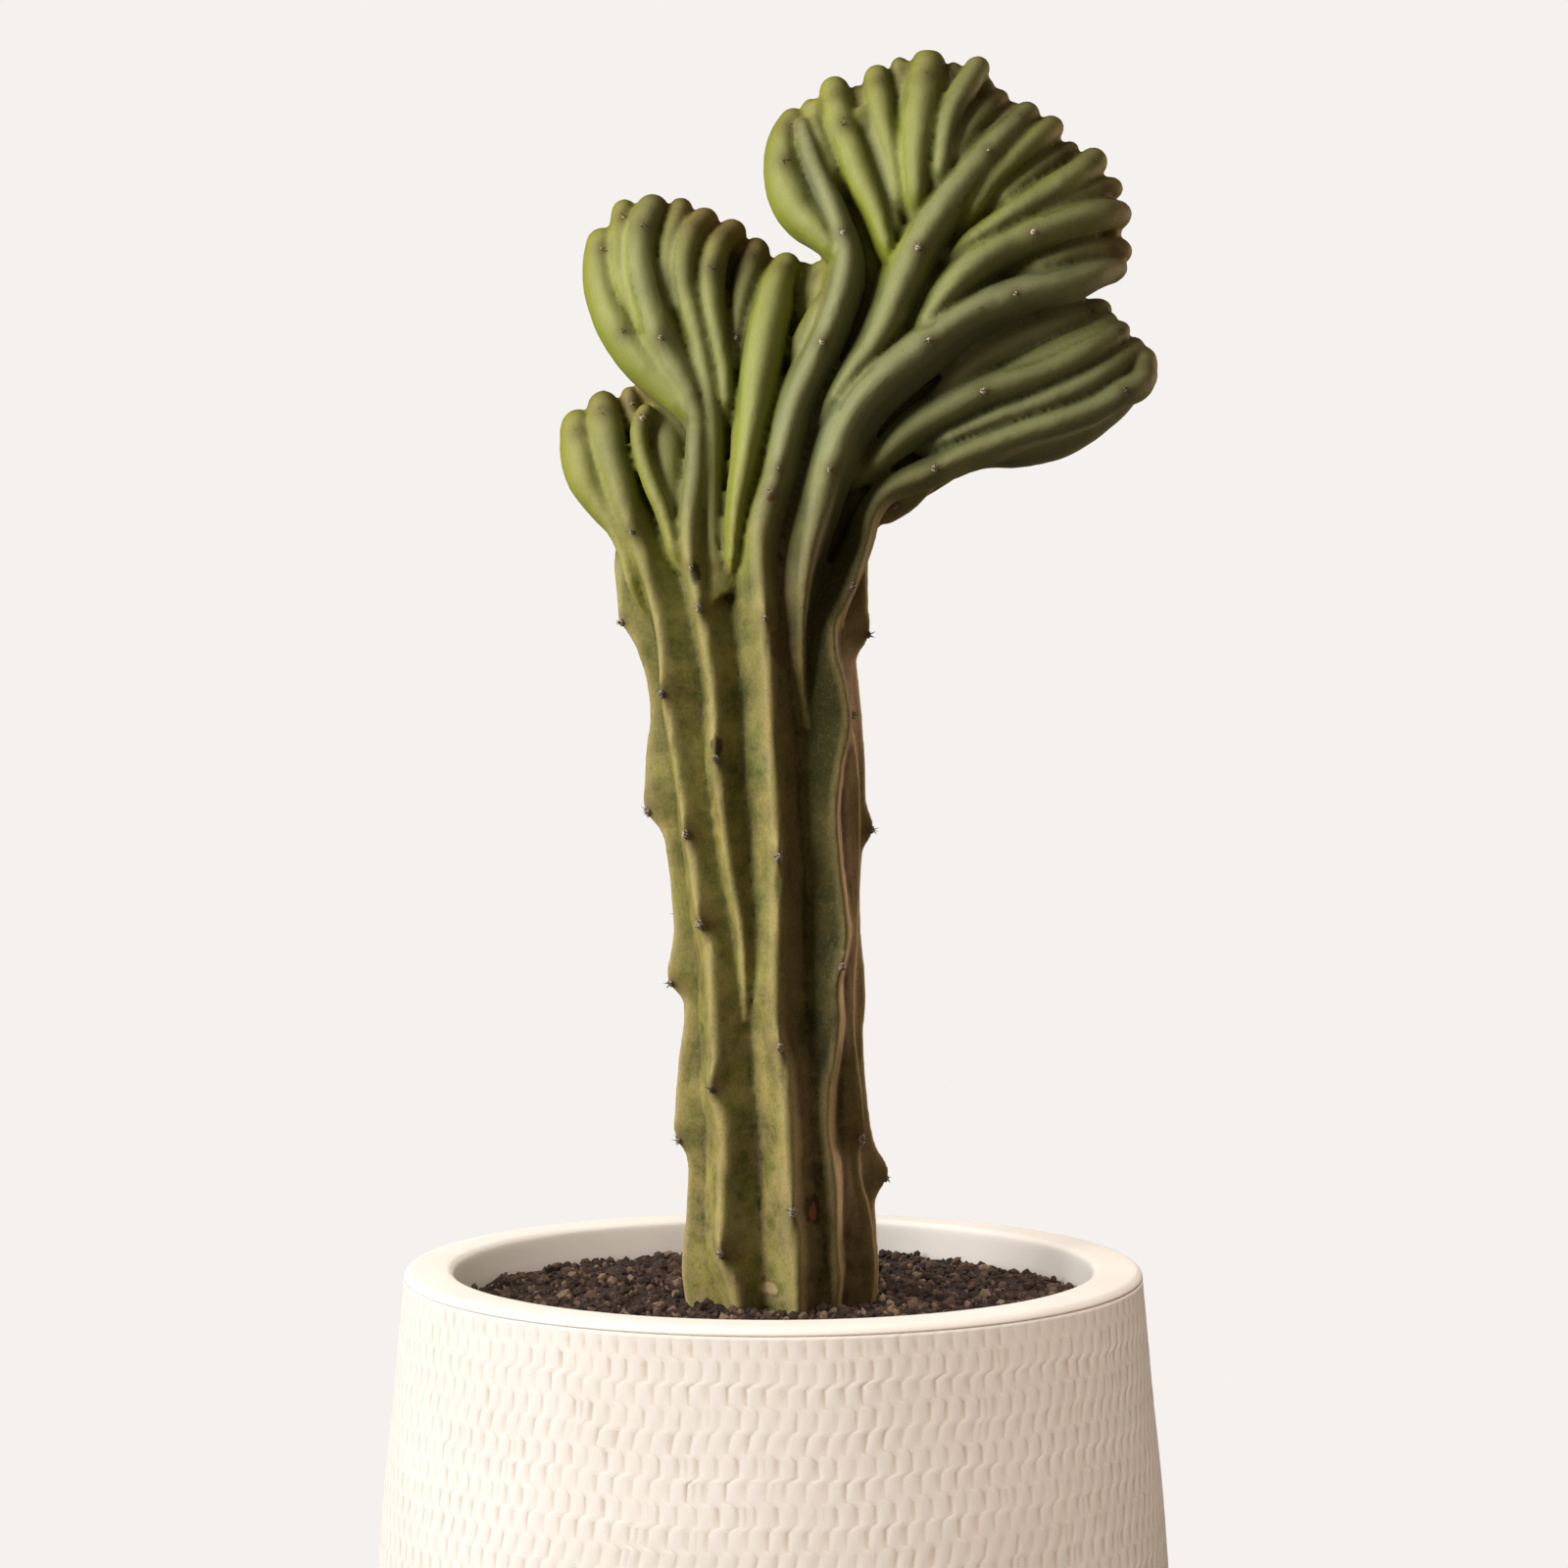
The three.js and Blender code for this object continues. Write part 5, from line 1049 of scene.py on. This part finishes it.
tall = p[:, 2] + np.where(on_face, waves * np.clip(row / 20, 0, 1) * np.clip((rows - row) / 8, 0, 1), 0)
radius = radius + np.where(on_face, np.interp(tall, heights, radii) - np.interp(p[:, 2], heights, radii), 0)
angle = np.where(on_face, new_angle, angle)
radius = radius - INSET * MM - np.where(on_face, DEPTH * MM * (1 - relief), 0)
write_points(coat_mesh, np.stack([radius * np.cos(angle), radius * np.sin(angle), tall], 1))
paint(coat_mesh, "relief", relief)
print("coat", sum(len(q.vertices) - 2 for q in coat_mesh.polygons), "triangles")

# %% [markdown]
# ## Stoneware
# Unglazed or thinly glazed stoneware, fired to a warm cream: dull and faintly grainy. The grooves of the relief
# are painted slightly darker, as shade. It scatters light softly, so its shaded side stays warm.

# %% Stoneware material
stoneware = blank("matte_cream_stoneware")
where = add(stoneware, "TexCoord").outputs["Object"]
depth = add(stoneware, "Attribute", {"attribute_name": "relief"}).outputs["Fac"]
# clouds of a few centimetres in the firing, and a clay grain of 0.5 mm
clouds = add(stoneware, "TexNoise", {"Scale": 22.0, "Detail": 3.0}, {"Vector": where}).outputs["Fac"]
clay_grain = add(stoneware, "TexNoise", {"Scale": 900.0, "Detail": 4.0}, {"Vector": where}).outputs["Fac"]
cream = add(stoneware, "ValToRGB", {"stops": [(0.3, "#E3DED7"), (0.7, "#EAE6E0")]},
            {"Fac": clouds}).outputs["Color"]
# painted shade: the grooves of the relief are darkened
groove = add(stoneware, "MapRange", {"From Min": 0.1, "From Max": 0.7, "To Min": 0.6, "To Max": 0.0},
             {"Value": depth}).outputs["Result"]
cream_with_painted_shade = add(stoneware, "Mix", {"data_type": "RGBA", 7: linear("#C0AE96")}, {0: groove, 6: cream}).outputs[2]
toothy = add(stoneware, "Bump", {"Strength": 0.25, "Distance": 0.0003}, {"Height": clay_grain}).outputs[0]
clay = add(stoneware, "BsdfPrincipled", {"Roughness": 0.72, "IOR": 1.5},
           {"Base Color": cream_with_painted_shade, "Normal": toothy}).outputs[0]
add(stoneware, "OutputMaterial", {}, {"Surface": clay})
coat = dress(bpy.data.objects.new("pot_coat", coat_mesh), stoneware, "pot")
body_mesh = bpy.data.meshes.new("pot_body")
body_bm.to_mesh(body_mesh)
body_bm.free()
paint(body_mesh, "relief", np.ones(len(body_mesh.vertices)))
pot_body = dress(bpy.data.objects.new("pot_body", body_mesh), stoneware, "pot")

# %% [markdown]
# ## Soil
# Peaty potting soil: dark crumbs of 1 to 5 mm on an uneven bed, a little drier and paler here and
# there. The bed is a spun disc that noise lifts and dips, and thousands of small crumbs are pressed into it.

# %% Bed of soil
# height, radians per mm in x and in y, and phase
SOIL_WAVES = [(0.8, 0.21, 0.17, 1.3), (0.5, 0.43, -0.37, 0), (0.45, 0.29, 0.61, 2)]
# height, the level at which the noise is cut, and its scale per mm
SOIL_LUMPS = [(0.9, 3, 0.22), (0.5, 9, 0.6)]
SOIL_SUNK = 0.5  # mm that all of it is lowered


def soil_height(x, y):
    broad = sum(h * math.sin(a * x + b * y + c) for h, a, b, c in SOIL_WAVES)
    coarse, fine = (h * noise.noise(Vector((x, y, level)) * scale) for h, level, scale in SOIL_LUMPS)
    return broad + coarse + fine - SOIL_SUNK


soil_top = (SOIL_LEVEL - SETTLED) / MM
soil_edge = [tuple(q) for q in inside[::-1] if q[1] < soil_top - 2]
soil_profile = [(0, soil_edge[0][1] + 0.4), (soil_edge[0][0] - 0.5, soil_edge[0][1] + 0.4)]
soil_profile += [(r - 0.5, z) for r, z in soil_edge[1:]]
rim_radius = soil_edge[-1][0] - 0.5
soil_profile += [(r, soil_top) for r in np.linspace(rim_radius, 3, 64)] + [(0, soil_top)]
bed_bm = spun(soil_profile, 240)
for vert in bed_bm.verts:
    if vert.co.z > soil_top * MM - 0.001:
        vert.co.z = (soil_top + soil_height(vert.co.x / MM, vert.co.y / MM)) * MM
print("bed", len(bed_bm.verts), "vertices")

# %% Crumbs
random.seed(23)
CRUMBS = 5200
CRUMB_SIZES = (0.55, 0.7, 0.9, 1.1, 1.4, 1.9)  # radii in mm
CRUMB_REACH = 101.5  # they lie within this radius of the pot's axis
STEM_MIDDLE, STEM_CLEAR = 2.5, 23  # and outside the stem's foot
HANDFUL = 60  # they are joined by the handful, since a small mesh is quick to add to
crumb_bm = bmesh.new()
handful = bmesh.new()
shade = handful.verts.layers.float.new("shade")
for count in range(CRUMBS):
    if count % HANDFUL == HANDFUL - 1:
        append(crumb_bm, handful)
        handful = bmesh.new()
        shade = handful.verts.layers.float.new("shade")
    r = CRUMB_REACH * math.sqrt(random.uniform(0.05, 1))
    turn = random.uniform(0, 2 * math.pi)
    x, y = r * math.cos(turn), r * math.sin(turn)
    if math.hypot(x - STEM_MIDDLE, y) < STEM_CLEAR:
        continue
    size = random.choice(CRUMB_SIZES) * random.uniform(0.8, 1.2)
    stretch = [size * random.uniform(0.6, 1.3) for _ in range(3)]
    z = soil_top + soil_height(x, y) + 0.35 * size
    matrix = (Matrix.Scale(MM, 4) @ Matrix.Translation((x, y, z))
              @ Matrix.Rotation(random.uniform(0, 6.28), 4,
                                Vector((random.random(), random.random(), 1)).normalized())
              @ Matrix.Diagonal((*stretch, 1)))
    made = bmesh.ops.create_icosphere(handful, subdivisions=1, radius=1, matrix=matrix)["verts"]
    tone = random.random()
    for vert in made:
        vert.co += Vector([random.uniform(-0.2, 0.2) * size * MM for _ in range(3)])
        vert[shade] = tone
append(crumb_bm, handful)
print("crumbs", len(crumb_bm.faces), "faces")

# %% Potting soil material
# damp peat is matt and very dark, so only its crumbs and its dry, paler grains catch the eye
peat = blank("damp_peat_soil")
spot = add(peat, "TexCoord").outputs["Object"]
tone = add(peat, "Attribute", {"attribute_name": "shade"}).outputs["Fac"]
# clods of 6 mm and dust of 0.5 mm
clods = add(peat, "TexNoise", {"Scale": 160.0, "Detail": 4.0}, {"Vector": spot}).outputs["Fac"]
dust = add(peat, "TexNoise", {"Scale": 1500.0, "Detail": 3.0}, {"Vector": spot}).outputs["Fac"]
earth = add(peat, "ValToRGB", {"stops": [(0.3, "#1A110C"), (0.55, "#33231A"), (0.75, "#54402F")]},
            {"Fac": clods}).outputs["Color"]
toned = add(peat, "ValToRGB",
            {"stops": [(0.0, "#1D130E"), (0.5, "#3A281D"), (0.85, "#6B513F"), (0.95, "#A0866C")]},
            {"Fac": tone}).outputs["Color"]
soil_colour = add(peat, "Mix", {"data_type": "RGBA", 0: 0.55}, {6: earth, 7: toned}).outputs[2]
crumbly = add(peat, "Bump", {"Strength": 0.8, "Distance": 0.0006}, {"Height": dust}).outputs[0]
matt = add(peat, "BsdfPrincipled", {"Roughness": 0.9},
           {"Base Color": soil_colour, "Normal": crumbly}).outputs[0]
add(peat, "OutputMaterial", {}, {"Surface": matt})
bed = piece("soil_bed", bed_bm, peat, "soil")
crumbs = piece("soil_crumbs", crumb_bm, peat, "soil", smooth=False)

# %% [markdown]
# ## Studio
# The pot stands on a pale floor in front of a pale sweep. A dark plant and a cream pot want different
# amounts of light, and a photographer nets or flags a lamp to get them. Here each lamp names what it
# lights. The plant has a large key at the left and a weak lamp behind at the right that edges the stem.
# The pot, the soil and the floor have the same key, netted, and cards beside, in front and above.

# %% Floor
PALE = "#F5F1EE"
floor_bm = bmesh.new()
bmesh.ops.create_circle(floor_bm, cap_ends=True, segments=96, radius=12.0)
floor_mesh = bpy.data.meshes.new("studio_floor")
floor_bm.to_mesh(floor_mesh)
floor_bm.free()
floor = bpy.data.objects.new("studio_floor", floor_mesh)
bpy.context.scene.collection.objects.link(floor)
paper = blank("pale_backdrop_paper")
spot = add(paper, "TexCoord").outputs["Object"]
away = add(paper, "VectorMath", {"operation": "LENGTH"}, {0: spot}).outputs["Value"]
beyond = add(paper, "MapRange", {"From Min": 0.2, "From Max": 0.5, "To Min": 0.0, "To Max": 1.0},
            {"Value": away}).outputs["Result"]
lit = add(paper, "BsdfDiffuse", {"Color": linear("#F2EFEB")}).outputs[0]
glow = add(paper, "Emission", {"Color": linear(PALE), "Strength": 1.0}).outputs[0]
sweep = add(paper, "MixShader", {}, {0: beyond, 1: lit, 2: glow}).outputs[0]
add(paper, "OutputMaterial", {}, {"Surface": sweep})
floor.data.materials.append(paper)
floor.visible_diffuse = False
floor.visible_glossy = False
print("floor", len(floor_mesh.vertices), "vertices")

# %% World
world = bpy.data.worlds.new("studio_air")
bpy.context.scene.world = world
world.use_nodes = True
world.node_tree.nodes.clear()
seen = add(world, "LightPath").outputs["Is Camera Ray"]
pale = add(world, "Background", {"Color": linear(PALE), "Strength": 1.0}).outputs[0]
fill = add(world, "Background", {"Color": linear("#FFE4C8"), "Strength": 0.17}).outputs[0]
air = add(world, "MixShader", {}, {0: seen, 1: fill, 2: pale}).outputs[0]
add(world, "OutputWorld", {}, {"Surface": air})
print("air", world.name)

# %% Softboxes
plant = (skin, felt_piece, spine_piece)
pot_and_soil = (pot_body, coat, bed, crumbs, floor)
# name, place, the height that it aims at, width and height, watts, colour, and what it lights
SOFTBOXES = [
    ("key_left", (-1.78, -0.8, 1.15), 0.4, (1.2, 1.2), 78, "#FFFBF4", plant),
    ("edge_right", (1.3, 0.6, 0.6), 0.35, (0.4, 0.9), 11, "#FFDCC0", plant),
    ("netted_key", (-1.78, -0.8, 1.15), 0.2, (1.0, 1.0), 30, "#FFFFFF", pot_and_soil),
    ("side_card", (-1.85, 0.67, 0.6), 0.2, (1.0, 1.0), 18, "#FFFFFF", pot_and_soil),
    ("front_card", (-0.2, -1.42, 0.75), 0.2, (0.9, 0.8), 12, "#FFF6EE", pot_and_soil),
    ("top_card", (0.25, 0.1, 1.9), 0.2, (2.4, 2.4), 38, "#FFF8F0", pot_and_soil),
    ("warm_card", (1.35, -0.75, 0.35), 0.2, (0.8, 0.8), 1.6, "#FFB070", pot_and_soil),
]
for name, lamp_place, aim, size, watts, colour, lit in SOFTBOXES:
    lamp_data = bpy.data.lights.new(name, "AREA")
    lamp_data.shape = "RECTANGLE"
    lamp_data.size, lamp_data.size_y = size
    lamp_data.energy = watts
    lamp_data.color = linear(colour)[:3]
    lamp = bpy.data.objects.new(name, lamp_data)
    lamp.location = lamp_place
    lamp.rotation_euler = (Vector((0, 0, aim)) - Vector(lamp_place)).to_track_quat("-Z", "Y").to_euler()
    bpy.context.scene.collection.objects.link(lamp)
    group = bpy.data.collections.new("lit_by_" + name)
    for made in lit:
        group.objects.link(made)
    lamp.light_linking.receiver_collection = group
    print(name, watts, "W")
